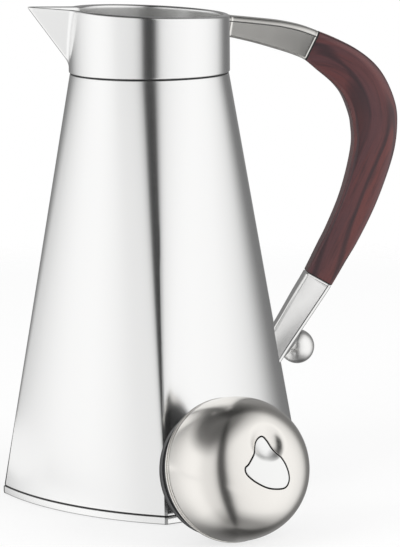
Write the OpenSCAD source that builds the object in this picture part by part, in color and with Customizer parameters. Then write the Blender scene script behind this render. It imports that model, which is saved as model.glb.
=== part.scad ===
// Insulated coffee pot with a lift-out stopper lying beside it.
// The pot's axis is Z and it stands on z = 0. The handle is at +X and the
// spout at -X, so the body's four corners lie on the X and Y axes.

/* [Body] */
// Distance from the axis to the middle of each side at the foot
side_reach = 78.9; // [76:0.1:84]
// Radius of the arc that each side follows at the foot
side_radius = 168; // [150:1:220]
// How far each corner at the foot is cut back from where its sides meet
corner_cut = 0.04; // [0.02:0.02:1]
// How far the round neck is set in from the collar's face
neck_inset = 0.6; // [0.3:0.1:0.8]
// Height of the body shell's top edge
neck_height = 260.3; // [250:0.1:275]
// Sheet thickness of the body shell
shell_wall = 0.9; // [0.6:0.05:1.4]

/* [Base] */
// Height of the band's lower edge above the table
base_lift = 0.3; // [0.2:0.1:1]
// Height of the band round the foot
band_height = 4.3; // [3.6:0.1:6]
// How far the band stands out past the shell
band_proud = 0.6; // [0:0.1:1.5]
// Sheet thickness of the band
band_wall = 2; // [1:0.1:3]
// Width of the lip inside the band that the gasket and plate sit on
lip_width = 9; // [7:0.5:14]
// Thickness of the lip inside the band
lip_thickness = 1.5; // [1:0.1:2]
// Height of the shadow gap between the band and the shell
gap_height = 1.1; // [0.6:0.1:2]
// How far the base gasket lies back from the shell's face
gasket_inset = 0.45; // [0.2:0.05:0.7]
// Thickness of the base plate
plate_thickness = 1.8; // [1.2:0.1:1.8]
// Radius of each rubber foot
foot_radius = 6; // [4:0.5:8]
// How far the middle of each rubber foot lies in from the body's side
foot_inset = 12.9; // [11:0.1:18]
// Radius of the base screws
base_screw_radius = 1.5; // [1:0.1:1.8]
// How far each base screw lies in from the body's corner
base_screw_inset = 9.2; // [8:0.1:10]

/* [Collar] */
// Width of the collar from its face in to the mouth
collar_land = 5.1; // [5:0.1:6]
// Sheet thickness of the collar
collar_wall = 1.1; // [0.8:0.1:1.5]
// Inner radius of the mouth
mouth_radius = 44; // [40:0.5:48]
// Height of the rim above the shell's top edge, on the pot's axis
rim_rise = 37.7; // [34:0.1:44]
// Tilt of the rim, higher at the spout
rim_tilt = 2.8; // [0:0.1:4]
// Rounding of the rim's edges
rim_round = 1.8; // [1:0.1:2.2]
// Depth of the rim's land
rim_depth = 3; // [2:0.5:5]
// Wall of the liner inside the mouth
liner_wall = 0.8; // [0.5:0.1:1]
// Height of the groove between the shell and the collar
groove_height = 1; // [0.6:0.1:2]
// How far the groove's gasket lies back from the neck
groove_inset = 0.3; // [0.1:0.1:0.6]

/* [Spout] */
// Distance from the axis to the spout's tip
spout_reach = 74; // [66:0.5:80]
// Height above the shell's top edge at which the spout's ridge begins
spout_rise = 5.7; // [5:0.1:10]
// Half of the angle between the spout's two sides
spout_half_angle = 32.4; // [28:0.1:36]
// Sheet thickness of the spout
spout_wall = 1.2; // [0.8:0.1:1.6]
// Outer rounding of the spout's ridge
spout_round = 2; // [1.8:0.1:3]

/* [Vacuum flask] */
// Wall of each glass
glass_wall = 1.6; // [1.2:0.1:2]
// Width of the seal on the flask's lip, from the mouth in to the flask
lip_land = 5.1; // [4.8:0.1:5.4]
// Gap between the flask's outer glass and the shell's sides at the foot
flask_margin = 15; // [13:0.5:18]
// Gap between the two glasses at the foot
vacuum_gap = 5; // [4:0.5:7]
// Height of the flask's bottom above the table
flask_bottom = 20; // [17:0.5:26]
// How far below the shell's top edge the flask begins to close to its neck
shoulder_drop = 24.3; // [20:0.1:32]
// Corner radius at the foot of the outer glass
flask_corner = 18; // [12:1:22]
// Radius of the tip under the outer glass
tip_radius = 4; // [3:0.5:6]
// Length of the tip under the outer glass
tip_length = 6; // [4:0.5:9]
// Thickness of the seal that covers the flask's lip
lip_seal = 3; // [2:0.2:4]
// Depth of the collar's core below the neck
core_depth = 12; // [8:0.5:13]
// Outer radius of the cushion under the flask
cushion_radius = 40; // [34:1:42]
// Radius of the spacer pads between the two glasses
pad_radius = 5; // [3:0.5:8]

/* [Handle] */
// Height of the middle of the upper arm at the collar, below the rim
arm_drop = 9.7; // [9:0.1:11]
// Height of the middle of the handle's foot above the table
foot_height = 91; // [86:0.5:98]
// How far the grip bulges out past a line from arm to foot
grip_bulge = 79; // [72:0.5:84]
// Half depth of the grip where it is deepest
grip_depth = 14.5; // [13:0.1:16]
// Half thickness of the grip where it is thickest
grip_thickness = 9.6; // [8.8:0.1:10.6]
// Rounding of the metal arms' edges
arm_round = 2; // [1:0.1:3]
// Rounding of the wooden grip's edges
grip_round = 4.5; // [3:0.1:6]
// Radius of the two studs that hold the grip
stud_radius = 2.5; // [2:0.1:3.5]
// Length of each stud on each side of its joint
stud_reach = 13; // [9:0.5:15]
// Radius of the ball at the handle's foot
ball_radius = 10.7; // [9.5:0.1:11.4]
// Distance from the body's corner to the ball's middle
ball_out = 11.7; // [11:0.1:12.6]
// Distance of the ball's middle below the middle of the foot
ball_down = 4.6; // [3.6:0.1:5.4]
// Radius of the screws in the handle
screw_radius = 2.4; // [1.8:0.1:2.6]
// Radius of the foot's nut inside the body
nut_radius = 6; // [5:0.5:7]
// Thickness of the foot's nut inside the body
nut_thickness = 5; // [3:0.5:6]

/* [Stopper] */
// Height of the dome above the stopper's flange
dome_height = 43.3; // [40:0.1:46]
// How far the dome's foot is set in from the flange's edge
dome_inset = 0.3; // [0:0.1:0.8]
// Squareness of the dome's profile, 2 being an ellipse
dome_power = 2.8; // [2.4:0.1:3.4]
// Sheet thickness of the dome
dome_wall = 1; // [0.7:0.1:1.3]
// Gap between the flange and the mouth round it
flange_gap = 1.6; // [0.8:0.1:2]
// Thickness of the flange
flange_thickness = 1.3; // [1:0.1:2]
// Width of the flange
flange_width = 12.9; // [12.4:0.1:14]
// Height of the groove between the flange and the dome
dome_gap = 0.6; // [0.4:0.1:1]
// Gap between the plug and the flask's mouth round it
plug_gap = 1.1; // [0.9:0.1:1.7]
// Depth of the plug below the flange
plug_depth = 16.2; // [15:0.1:20]
// Wall of the plug
plug_wall = 2.2; // [1.6:0.1:2.6]
// Thickness of the plug's floor
plug_floor = 2.5; // [2:0.1:4]
// How far the plug's seal stands out
seal_proud = 0.6; // [0.3:0.1:0.6]
// Height of the plug's seal
seal_height = 2.4; // [1.6:0.1:3]
// Thickness of the deck inside the dome
deck_thickness = 2.5; // [2:0.1:4]
// How far the stopper's screws lie in from the plug's face
screw_inset = 4.8; // [4.6:0.1:5.4]

/* [Lever and valve] */
// Gap round the lever
lever_gap = 0.6; // [0.5:0.05:0.9]
// Thickness of the lever's plate
lever_thickness = 2.2; // [1.6:0.1:2.6]
// Distance from the stopper's axis to the lever's pin
pin_back = 8; // [7:0.5:9]
// Height of the lever's pin above the flange
pin_height = 38.2; // [37.4:0.1:38.6]
// Radius of the lever's pin
pin_radius = 1; // [0.8:0.1:1.2]
// Half the width of the lever's boss
boss_half = 6; // [5:0.5:7]
// Radius of the finger hollow's ball shape
hollow_radius = 17.5; // [15:0.5:22]
// Depth of the finger hollow
hollow_depth = 2.6; // [1.5:0.1:3]
// Distance from the axis to the finger hollow
hollow_reach = 12.2; // [11:0.1:13]
// Radius of the valve's stem
stem_radius = 2; // [1.5:0.1:2.4]
// Radius of the valve's disc
valve_radius = 13; // [12:0.5:15]
// Radius of the hole that the valve closes
port_radius = 10; // [8:0.5:10.5]
// Radius of the stem's cap
cap_radius = 6.5; // [6:0.1:7]
// Height of the stem's top above the flange
stem_top = 33; // [32:0.1:33.6]
// Radius of the spring's coil
spring_radius = 4.6; // [4.4:0.1:4.8]
// Radius of the spring's wire
wire_radius = 0.5; // [0.4:0.05:0.6]
// Turns of the spring
spring_turns = 7; // [5:1:9]

/* [Where the stopper lies] */
// Place of the middle of the stopper's flange along X
lie_x = 34.4; // [28:0.5:40]
// How far the middle of the stopper's flange lies in front of the corner
lie_front = 34.3; // [32:0.1:48]
// Turn of the stopper's axis about the vertical
lie_turn = -66.7; // [-80:0.1:-60]

/* [Hidden] */
// Clearance of shafts and pins in their bores
running_gap = 0.05;
// Clearance between pieces that seat in each other
seat_gap = 0.05;
// Overshoot of cutting shapes, and reach of those that run past the pot
over = 1;
far = 2 * side_radius;
// Thickness of the slices that hulls are stretched between
slice = 0.01;
// Distance from the axis to the middle of the arc that a side follows, and
// to the corner where two sides meet
side_centre = side_radius - side_reach;
corner_reach = sqrt(side_radius ^ 2 - side_centre ^ 2 / 2) - side_centre / sqrt(2) - corner_cut;
band_top = base_lift + band_height;
shell_bottom = band_top + gap_height;
lip_bottom = band_top - lip_thickness;
plate_top = lip_bottom;
plate_bottom = plate_top - plate_thickness;
// Thickness of the base screws' heads
base_head = 0.6;
base_screw_reach = corner_reach - base_screw_inset;
foot_reach = side_reach - foot_inset;
collar_radius = mouth_radius + collar_land;
neck_radius = collar_radius - neck_inset;
rim_height = neck_height + rim_rise;
collar_bottom = neck_height + groove_height;
// Height of the stopper's seat above the collar's lower edge
seat_step = 1.2;
shell_bore = neck_radius - shell_wall;
core_outer = collar_radius - collar_wall - seat_gap;
core_inner = mouth_radius + liner_wall + seat_gap;
seat_height = collar_bottom + seat_step;
lip_height = seat_height - lip_seal;
// Length of the seal's skirt round the flask's neck
skirt_length = 7;
flask_mouth = mouth_radius - lip_land;
flask_shoulder = neck_height - shoulder_drop;
neck_outer = flask_mouth + 2 * glass_wall;
spout_low = neck_height + spout_rise;
spout_tip_height = rim_height + spout_reach * tan(rim_tilt);
// Height that clears the tilted rim all round
rim_top = spout_tip_height + over;
spout_lean = atan((spout_reach - collar_radius) / (spout_tip_height - spout_low));
ridge_slope = (corner_reach - neck_radius) / (neck_height - shell_bottom);
ridge_lean = atan(ridge_slope);
side_slope = (side_reach - neck_radius) / (neck_height - shell_bottom);
body_corners = [0, 90, 180, 270];
quarter_turns = [45, 135, 225, 315];
cushion_top = flask_bottom - seat_gap;
// Room between the cushion and the flask's tip
tip_room = 6;
// Height of the spacer pads above the flask's lower corner, and the room
// between them and the glass
pad_rise = 6;
pad_slack = 0.2;
flask_foot = side_reach - flask_margin;
// How much wider than its neck the flask is at its shoulder, and the height
// over which it closes
shoulder_step = 2.6;
shoulder_height = 9.6;
flask_top_radius = neck_outer + shoulder_step;
inner_foot = flask_foot - glass_wall - vacuum_gap;
inner_neck = neck_outer - glass_wall - seat_gap;
inner_bottom = flask_bottom + glass_wall + vacuum_gap;
flange_radius = mouth_radius - flange_gap;
flange_bore = flange_radius - flange_width;
dome_radius = flange_radius - dome_inset;
plug_radius = flask_mouth - plug_gap;
stopper_screw_reach = plug_radius - screw_inset;
flange_seat = flange_thickness + dome_gap;
lie_tilt = atan((flange_radius - plug_radius) / plug_depth);
lie_height = flange_radius * cos(lie_tilt);
lie_y = -corner_reach - lie_front;
// How far the dome's gasket lies back from the dome's face
gasket_back = 0.7;
// Height and depth of the plug's groove for its seal
seal_up = 2.6;
seal_low = seal_up - plug_depth;
groove_depth = 0.9;
deck_bottom = flange_thickness;
deck_top = deck_bottom + deck_thickness;
// The deck's rim, and the guide in its middle for the valve's stem
deck_rim = 2.5;
guide_radius = 3.4;
guide_low = -8;
guide_length = 20;
// Room round the deck inside the dome
deck_slack = 0.15;
// Slots in the plug that coffee runs out through
slot_turns = [60, 180, 300];
slot_width = 18;
slot_height = 6;
slot_low = -9;
stopper_screws = [0, 120, 240];
stopper_screw_radius = 1.5;
stopper_head = 1.6;
// Web of the plug under the ends of the stopper's screws
screw_web = 2;
screw_low = plug_floor + screw_web - plug_depth;
stopper_boss_radius = 2.8;
// Bracket under the lever
bracket_length = 24;
bracket_thickness = 1.2;
bracket_spots = [-9.4, 9.4];
bracket_screw_radius = 1.2;
bracket_screw_lift = 0.2;
bracket_head = 1.2;
// Room round the spring where it passes the bracket
spring_room = 0.5;
ear_thickness = 1.5;
ear_radius = 2.2;
ear_gap = 0.3;
// Turn of the lever's tip about the stopper's axis
lever_turn = 158.7;
// Depth of the crown where the finger hollow is cut, and the hollow's floor
crown_drop = 0.8;
hollow_floor = dome_height - crown_drop - hollow_depth;
boss_radius = 2.4;
// Nub that presses on the stem's cap
nub_radius = 1.5;
nub_reach = 1.5;
nub_half = 3;
nub_web = 2;
// How far the boss and the nub run up into the lever's plate
plate_bite = 0.5;
// Length of the lever's pin
pin_length = 2 * boss_half + 4;
// Cap, washer, disc and foot on the valve's stem
cap_thickness = 2;
washer_thickness = 1.5;
washer_inset = 0.5;
disc_thickness = 2.1;
stem_foot = 1.2;
valve_top = -plug_depth - seat_gap;
disc_top = valve_top - washer_thickness;
disc_bottom = disc_top - disc_thickness;

// Lever outline, tip first, in the lever's own frame with its tip along +X
lever_points = [
    [15.5, 3.2], [13.8, -0.6], [9.4, -4.9], [3.4, -12.4], [-2.2, -16.5],
    [-6.8, -17.2], [-10.2, -14.5], [-12.4, -5.7], [-11.3, 3.1],
    [-8.6, 9.5], [-5.5, 11.4], [-2.8, 9.9], [4.8, 7.5], [11.8, 6.3]
];
lever_edge = closed_curve(lever_points, 4);

// Handle stations from collar to foot: share of the drop from the arm to
// the foot, and shares of the bulge, the half depth and the half thickness
handle_stations = [
    [-0.006, -0.1, 0.455, 0.656], [0, 0, 0.469, 0.656], [0.013, 0.17, 0.524, 0.667],
    [0.028, 0.335, 0.593, 0.688], [0.044, 0.475, 0.634, 0.719], [0.064, 0.592, 0.662, 0.76],
    [0.097, 0.719, 0.786, 0.833], [0.14, 0.858, 0.897, 0.927], [0.19, 0.95, 0.972, 0.979],
    [0.26, 1, 1, 1], [0.316, 1, 0.966, 1], [0.383, 0.968, 0.897, 0.99],
    [0.47, 0.884, 0.821, 0.958], [0.562, 0.772, 0.752, 0.906], [0.655, 0.632, 0.697, 0.854],
    [0.716, 0.527, 0.662, 0.812], [0.796, 0.39, 0.621, 0.76], [0.856, 0.275, 0.6, 0.719],
    [0.932, 0.13, 0.559, 0.677], [1, 0, 0.524, 0.646], [1.066, -0.12, 0.497, 0.625]
];
// Stations at which the wooden grip starts and ends
grip_start = 5;
grip_end = 16;
station_count = len(handle_stations);
arm_height = rim_height - arm_drop;
foot_corner = corner_reach - ridge_slope * (foot_height - shell_bottom);
// How far the arm starts out from the collar
arm_start = 1.4;
// Length of the screw in the upper arm, and its head
arm_screw_reach = 14;
head_radius = 1.8 * screw_radius;
head_thickness = 1.2;
// Thickness of the core that the screw's head bears on
head_web = 1;
// How far the foot's screw runs past its nut, and its length in the body
screw_past = 2.5;
foot_screw = shell_wall + nut_thickness + screw_past;

$fn = 96;

// ---- curves ----

function mix(a, b, t) = a + (b - a) * t;

// Catmull-Rom point between b and c
function curve_point(a, b, c, d, t) =
    0.5 * (2 * b + (c - a) * t + (2 * a - 5 * b + 4 * c - d) * t * t
    + (3 * b - a - 3 * c + d) * t * t * t);

function wrap(list, i) = list[(i + len(list)) % len(list)];

function closed_curve(points, steps) = [
    for (i = [0 : len(points) - 1])
        for (k = [0 : steps - 1])
            curve_point(wrap(points, i - 1), points[i], wrap(points, i + 1), wrap(points, i + 2),
                k / steps)
];

// Moves each point of a closed outline out along its normal
function grown(points, amount) = [
    for (i = [0 : len(points) - 1])
        let (along = wrap(points, i + 1) - wrap(points, i - 1), size = norm(along))
            points[i] + amount * [-along[1], along[0]] / size
];

// Tube through rings of points, closed at both ends
module skin(rings) {
    sides = len(rings[0]);
    last = len(rings) - 1;
    points = [for (ring = rings) each ring];
    walls = [
        for (i = [0 : last - 1])
            for (j = [0 : sides - 1])
                let (a = i * sides + j, b = i * sides + (j + 1) % sides)
                    each [[a, a + sides, b], [b, a + sides, b + sides]]
    ];
    first_end = [for (j = [0 : sides - 1]) j];
    last_end = [for (j = [sides - 1 : -1 : 0]) last * sides + j];
    polyhedron(points, concat(walls, [first_end, last_end]));
}

// ---- shapes shared by the body's pieces ----

// Four-cornered outline with bowed sides and blunt corners on the axes
module body_outline(grow = 0) {
    intersection() {
        intersection_for (turn = quarter_turns)
            rotate(turn)
                translate([-side_centre, 0])
                    circle(r = side_radius + grow, $fn = 128);
        circle(r = corner_reach + grow, $fn = 96);
    }
}

// Solid that the body shell's face follows, from the foot to the neck, run
// on past both ends by past
module body_form(grow = 0, past = 0) {
    widen = past * (ridge_slope + side_slope) / 2;
    hull() {
        translate([0, 0, shell_bottom - past])
            linear_extrude(slice)
                body_outline(grow + widen);
        translate([0, 0, neck_height + past - slice])
            cylinder(r = neck_radius + grow - widen, h = slice, $fn = 72);
    }
}

// Half space under the rim's plane, lowered by drop
module under_rim(drop = 0) {
    translate([0, 0, rim_height - drop])
        rotate([0, rim_tilt, 0])
            translate([-far, -far, -far])
                cube([2 * far, 2 * far, far]);
}

module tube(outer, inner, low, high) {
    translate([0, 0, low])
        difference() {
            cylinder(r = outer, h = high - low);
            translate([0, 0, -over])
                cylinder(r = inner, h = high - low + 2 * over);
        }
}

// ---- base ----

module outer_shell() {
    color("gainsboro")
        difference() {
            body_form();
            body_form(-shell_wall, over);
            foot_bore();
        }
}

module base_band() {
    color("gainsboro")
        difference() {
            translate([0, 0, base_lift])
                linear_extrude(band_height)
                    body_outline(band_proud);
            translate([0, 0, base_lift - over])
                linear_extrude(lip_bottom - base_lift + over)
                    body_outline(band_proud - band_wall);
            translate([0, 0, lip_bottom - over])
                linear_extrude(lip_thickness + 2 * over)
                    body_outline(band_proud - band_wall - lip_width);
            base_screw_holes();
        }
}

module base_gasket() {
    color("dimgray")
        translate([0, 0, band_top])
            linear_extrude(gap_height)
                difference() {
                    body_outline(-gasket_inset);
                    body_outline(band_proud - band_wall - lip_width);
                }
}

module base_screw_holes() {
    for (turn = body_corners)
        rotate(turn)
            translate([base_screw_reach, 0, -over])
                cylinder(r = base_screw_radius + running_gap, h = band_top + 2 * over);
}

module base_plate() {
    color("silver")
        difference() {
            translate([0, 0, plate_bottom])
                linear_extrude(plate_thickness)
                    body_outline(band_proud - band_wall - seat_gap);
            base_screw_holes();
        }
}

module base_screws() {
    color("dimgray")
        for (turn = body_corners)
            rotate(turn)
                translate([base_screw_reach, 0, 0]) {
                    translate([0, 0, plate_bottom - base_head])
                        cylinder(r = 1.7 * base_screw_radius, h = base_head);
                    translate([0, 0, plate_bottom - base_head / 2])
                        cylinder(r = base_screw_radius, h = band_top - plate_bottom + base_head / 2);
                }
}

module rubber_feet() {
    color("dimgray")
        for (turn = quarter_turns)
            rotate(turn)
                translate([foot_reach, 0, 0])
                    cylinder(r = foot_radius, h = plate_bottom);
}

// ---- vacuum flask ----

// Radius at height z of a glass whose side starts at height low
function glass_radius(z, foot, top, low) =
    mix(foot, top, (z - low) / (flask_shoulder - low));

// Outline of a round-footed bottle from its foot to its lip
function bottle_outline(foot, top, bottom, shoulder, neck, corner) = concat(
    [[0, bottom]],
    [for (a = [-90 : 10 : 0]) [foot - corner + corner * cos(a), bottom + corner + corner * sin(a)]],
    [[top, shoulder]],
    [for (k = [1 : 6]) [mix(neck, top, (1 + cos(30 * k)) / 2), shoulder + shoulder_height * k / 6]],
    [[neck, lip_height], [0, lip_height]]
);

module outer_glass() {
    cavity_foot = flask_foot - glass_wall;
    cavity_top = flask_top_radius - glass_wall;
    color("lightblue")
        difference() {
            union() {
                rotate_extrude()
                    polygon(bottle_outline(flask_foot, flask_top_radius, flask_bottom,
                        flask_shoulder, neck_outer, flask_corner));
                translate([0, 0, flask_bottom - tip_length])
                    cylinder(r = tip_radius, h = tip_length + glass_wall / 2);
            }
            rotate_extrude()
                polygon(bottle_outline(cavity_foot, cavity_top, flask_bottom + glass_wall,
                    flask_shoulder, neck_outer - glass_wall, flask_corner - glass_wall));
            translate([0, 0, flask_shoulder + over])
                cylinder(r = neck_outer - glass_wall, h = lip_height - flask_shoulder);
        }
}

module inner_glass() {
    corner = flask_corner - glass_wall;
    color("azure")
        difference() {
            rotate_extrude()
                polygon(bottle_outline(inner_foot, inner_neck, inner_bottom, flask_shoulder,
                    inner_neck, corner));
            rotate_extrude()
                polygon(bottle_outline(inner_foot - glass_wall, flask_mouth,
                    inner_bottom + glass_wall, flask_shoulder, flask_mouth, corner - glass_wall));
            translate([0, 0, flask_shoulder + over])
                cylinder(r = flask_mouth, h = lip_height - flask_shoulder);
        }
}

// Three small pads that keep the two glasses apart near the foot
module glass_spacers() {
    height = flask_bottom + flask_corner + pad_radius + pad_rise;
    outer_low = flask_bottom + flask_corner;
    inner_low = inner_bottom + flask_corner - glass_wall;
    outside = glass_radius(height + pad_radius, flask_foot, flask_top_radius, outer_low)
        - glass_wall - pad_slack;
    inside = glass_radius(height - pad_radius, inner_foot, inner_neck, inner_low) + pad_slack;
    color("tan")
        for (turn = [0, 120, 240])
            rotate([0, 90, turn])
                translate([-height, 0, inside])
                    cylinder(r = pad_radius, h = outside - inside);
}

module flask_cushion() {
    color("dimgray")
        tube(cushion_radius, tip_radius + tip_room, plate_top, cushion_top);
}

module flask_seal() {
    color("white")
        difference() {
            tube(mouth_radius - seat_gap, flask_mouth, lip_height - skirt_length, seat_height);
            translate([0, 0, lip_height - skirt_length - over])
                cylinder(r = neck_outer + seat_gap, h = skirt_length + over);
        }
}

// ---- collar and spout ----

module neck_gasket() {
    color("dimgray")
        tube(neck_radius - groove_inset, shell_bore, neck_height, collar_bottom);
}

// Ring with a rounded edge all round, in the plane of the rim
module rim_form() {
    // the arcs run a little past the walls, so that they cut them cleanly
    past = rim_round / 12;
    outer_arc = [for (a = [0 : 15 : 90]) [collar_radius + past - rim_round + rim_round * cos(a),
        rim_round * (sin(a) - 1)]];
    inner_arc = [for (a = [90 : 15 : 180]) [mouth_radius - past + rim_round + rim_round * cos(a),
        rim_round * (sin(a) - 1)]];
    translate([0, 0, rim_height])
        rotate([0, rim_tilt, 0])
            rotate_extrude()
                polygon(concat([[mouth_radius - collar_land, -far], [far, -far],
                    [far, -rim_round]], outer_arc, inner_arc,
                    [[mouth_radius - collar_land, -rim_round]]));
}

// Wedge along the spout's ridge, its faces set in by inset
module spout_wedge(inset = 0) {
    half = spout_half_angle;
    centre = spout_round;
    radius = spout_round - inset;
    arc = [for (k = [0 : 6]) let (a = 90 + half + k * (180 - 2 * half) / 6)
        [centre + radius * cos(a), radius * sin(a)]];
    far_low = arc[6] + far * [cos(half), -sin(half)];
    far_high = arc[0] + far * [cos(half), sin(half)];
    translate([-collar_radius, 0, spout_low])
        rotate([0, -spout_lean, 0])
            linear_extrude(2 * far, center = true)
                polygon(concat(arc, [far_low, far_high]));
}

// Block in front of the axis and above the stopper's seat, where the spout is
module spout_zone(low) {
    translate([-far, -far, low])
        cube([far - mouth_radius / 2, 2 * far, far]);
}

module spout_cut() {
    intersection() {
        spout_wedge(-seat_gap);
        spout_zone(seat_height + seat_gap);
    }
}

module collar() {
    color("gainsboro")
        difference() {
            intersection() {
                tube(collar_radius, mouth_radius, collar_bottom, rim_top);
                rim_form();
            }
            intersection() {
                translate([0, 0, collar_bottom - over])
                    cylinder(r = collar_radius - collar_wall, h = far);
                under_rim(rim_depth);
            }
            spout_cut();
            arm_bore();
        }
}

module collar_core() {
    color("lightgray")
        difference() {
            intersection() {
                union() {
                    tube(core_outer, core_inner, collar_bottom + seat_gap, rim_top);
                    tube(shell_bore - seat_gap, mouth_radius, neck_height - core_depth,
                        seat_height - seat_gap);
                }
                under_rim(rim_depth + seat_gap);
            }
            spout_cut();
            arm_bore();
            arm_head_pocket();
        }
}

module mouth_liner() {
    color("silver")
        difference() {
            intersection() {
                tube(mouth_radius + liner_wall, mouth_radius, seat_height, rim_top);
                under_rim(rim_depth + seat_gap);
            }
            spout_cut();
        }
}

module spout() {
    color("gainsboro")
        difference() {
            intersection() {
                spout_wedge();
                spout_zone(seat_height + 2 * seat_gap);
                under_rim();
            }
            spout_wedge(spout_wall);
            translate([0, 0, neck_height])
                cylinder(r = mouth_radius, h = far);
        }
}

// ---- handle ----

// Station as x, z, half depth, half thickness
function station(i) = let (s = handle_stations[i]) [
    mix(collar_radius + arm_start, foot_corner, s[0]) + grip_bulge * s[1],
    mix(arm_height, foot_height, s[0]),
    grip_depth * s[2], grip_thickness * s[3]
];
function clamped(i) = station(max(0, min(station_count - 1, i)));
function handle_at(u) = let (i = floor(u))
    curve_point(clamped(i - 1), clamped(i), clamped(i + 1), clamped(i + 2), u - i);
function handle_along(u) = let (a = handle_at(u - 0.02), b = handle_at(u + 0.02),
    d = [b[0] - a[0], b[1] - a[1]]) d / norm(d);

// Rounded rectangle across the handle, corners rounded by arcs
function handle_section(half_depth, half_thick, round) = [
    for (corner = [[1, 1, 0], [-1, 1, 90], [-1, -1, 180], [1, -1, 270]])
        for (k = [0 : 4])
            let (a = corner[2] + k * 22.5)
                [corner[0] * (half_depth - round) + round * cos(a),
                corner[1] * (half_thick - round) + round * sin(a)]
];

function handle_ring(u, round) = let (s = handle_at(u), d = handle_along(u)) [
    for (p = handle_section(s[2], s[3], round))
        [s[0] - d[1] * p[0], p[1], s[1] + d[0] * p[0]]
];

module handle_piece(from, to, round, steps) {
    skin([for (k = [0 : steps]) handle_ring(mix(from, to, k / steps), round)]);
}

// Places children at a joint of the handle, with Z along the handle
module at_joint(u) {
    s = handle_at(u);
    d = handle_along(u);
    translate([s[0], 0, s[1]])
        rotate([0, atan2(d[0], d[1]), 0])
            children();
}

module stud_bores() {
    for (u = [grip_start, grip_end])
        at_joint(u)
            cylinder(r = stud_radius + seat_gap, h = 2 * (stud_reach + seat_gap), center = true);
}

// Places children on the body's corner at the ball, with Z pointing out
module at_ball_line() {
    translate([foot_corner, 0, foot_height])
        rotate([0, 90 - ridge_lean, 0])
            translate([ball_down, 0, 0])
                children();
}

module foot_bore() {
    at_ball_line()
        translate([0, 0, -foot_screw - over])
            cylinder(r = screw_radius + running_gap, h = foot_screw + over + ball_out);
}

module arm_bore() {
    translate([mouth_radius + 1, 0, arm_height])
        rotate([0, 90, 0])
            cylinder(r = screw_radius + running_gap,
                h = arm_screw_reach + collar_radius - mouth_radius);
}

module arm_head_pocket() {
    translate([mouth_radius - over, 0, arm_height])
        rotate([0, 90, 0])
            cylinder(r = head_radius + 2 * running_gap,
                h = core_outer - head_web - mouth_radius + over);
}

module arm_screw() {
    head = core_outer - head_web - head_thickness;
    color("dimgray")
        translate([0, 0, arm_height])
            rotate([0, 90, 0]) {
                translate([0, 0, head])
                    cylinder(r = head_radius, h = head_thickness);
                translate([0, 0, head + head_thickness / 2])
                    cylinder(r = screw_radius, h = arm_screw_reach);
            }
}

module upper_arm() {
    color("silver")
        difference() {
            handle_piece(0, grip_start, arm_round, 12);
            translate([0, 0, neck_height])
                cylinder(r = collar_radius + seat_gap, h = far);
            stud_bores();
            arm_bore();
        }
}

module wood_grip() {
    color("saddlebrown")
        difference() {
            handle_piece(grip_start, grip_end, grip_round, 33);
            stud_bores();
        }
}

module lower_arm() {
    color("silver")
        difference() {
            handle_piece(grip_end, station_count - 1, arm_round, 14);
            body_form(seat_gap);
            stud_bores();
            foot_bore();
            at_ball_line()
                translate([0, 0, ball_out])
                    sphere(r = ball_radius + seat_gap);
        }
}

module grip_studs() {
    color("dimgray")
        for (u = [grip_start, grip_end])
            at_joint(u)
                cylinder(r = stud_radius, h = 2 * stud_reach, center = true);
}

module ball_screw() {
    color("silver")
        at_ball_line() {
            translate([0, 0, ball_out])
                sphere(r = ball_radius);
            translate([0, 0, -foot_screw])
                cylinder(r = screw_radius, h = foot_screw + ball_out);
        }
}

module foot_nut() {
    color("dimgray")
        difference() {
            intersection() {
                at_ball_line()
                    translate([0, 0, -shell_wall - nut_thickness])
                        cylinder(r = nut_radius, h = nut_thickness + shell_wall);
                body_form(-shell_wall - seat_gap);
            }
            foot_bore();
        }
}

// ---- stopper ----

// Moves children from the stopper's frame, flange at z = 0 and dome up, to
// where the stopper lies on its flange and plug
module lying() {
    translate([lie_x, lie_y, lie_height])
        rotate([0, 90 - lie_tilt, lie_turn])
            children();
}

// Dome profile set in by inset
function dome_outline(inset) =
    let (r = dome_radius - inset, h = dome_height - inset - flange_seat, p = 2 / dome_power)
        concat(
            [[0, flange_seat]],
            [for (a = [0 : 5 : 90]) [r * pow(cos(a), p), flange_seat + h * pow(sin(a), p)]]
        );

module hollow_ball(grow = 0) {
    rotate(lever_turn)
        translate([hollow_reach, 0, hollow_floor + hollow_radius])
            sphere(r = hollow_radius + grow);
}

// Skin under the dome's face and its finger hollow, from one depth to another
module dome_skin(from, to) {
    difference() {
        rotate_extrude()
            polygon(dome_outline(from));
        hollow_ball(from);
        difference() {
            rotate_extrude()
                polygon(dome_outline(to));
            hollow_ball(to);
        }
    }
}

module lever_prism(grow) {
    rotate(lever_turn)
        linear_extrude(dome_height + over)
            polygon(grown(lever_edge, grow));
}

module stopper_dome() {
    color("gainsboro")
        lying()
            difference() {
                dome_skin(0, dome_wall);
                lever_prism(lever_gap);
            }
}

module dome_gasket() {
    color("black")
        lying()
            tube(dome_radius - gasket_back, plug_radius + gasket_back, flange_thickness, flange_seat);
}

module stopper_screw_holes() {
    for (turn = stopper_screws)
        rotate(turn)
            translate([stopper_screw_reach, 0, screw_low])
                cylinder(r = stopper_screw_radius + running_gap, h = deck_top - screw_low + over);
}

module stopper_flange() {
    color("gainsboro")
        lying()
            difference() {
                tube(flange_radius, flange_bore, 0, flange_thickness);
                stopper_screw_holes();
            }
}

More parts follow.
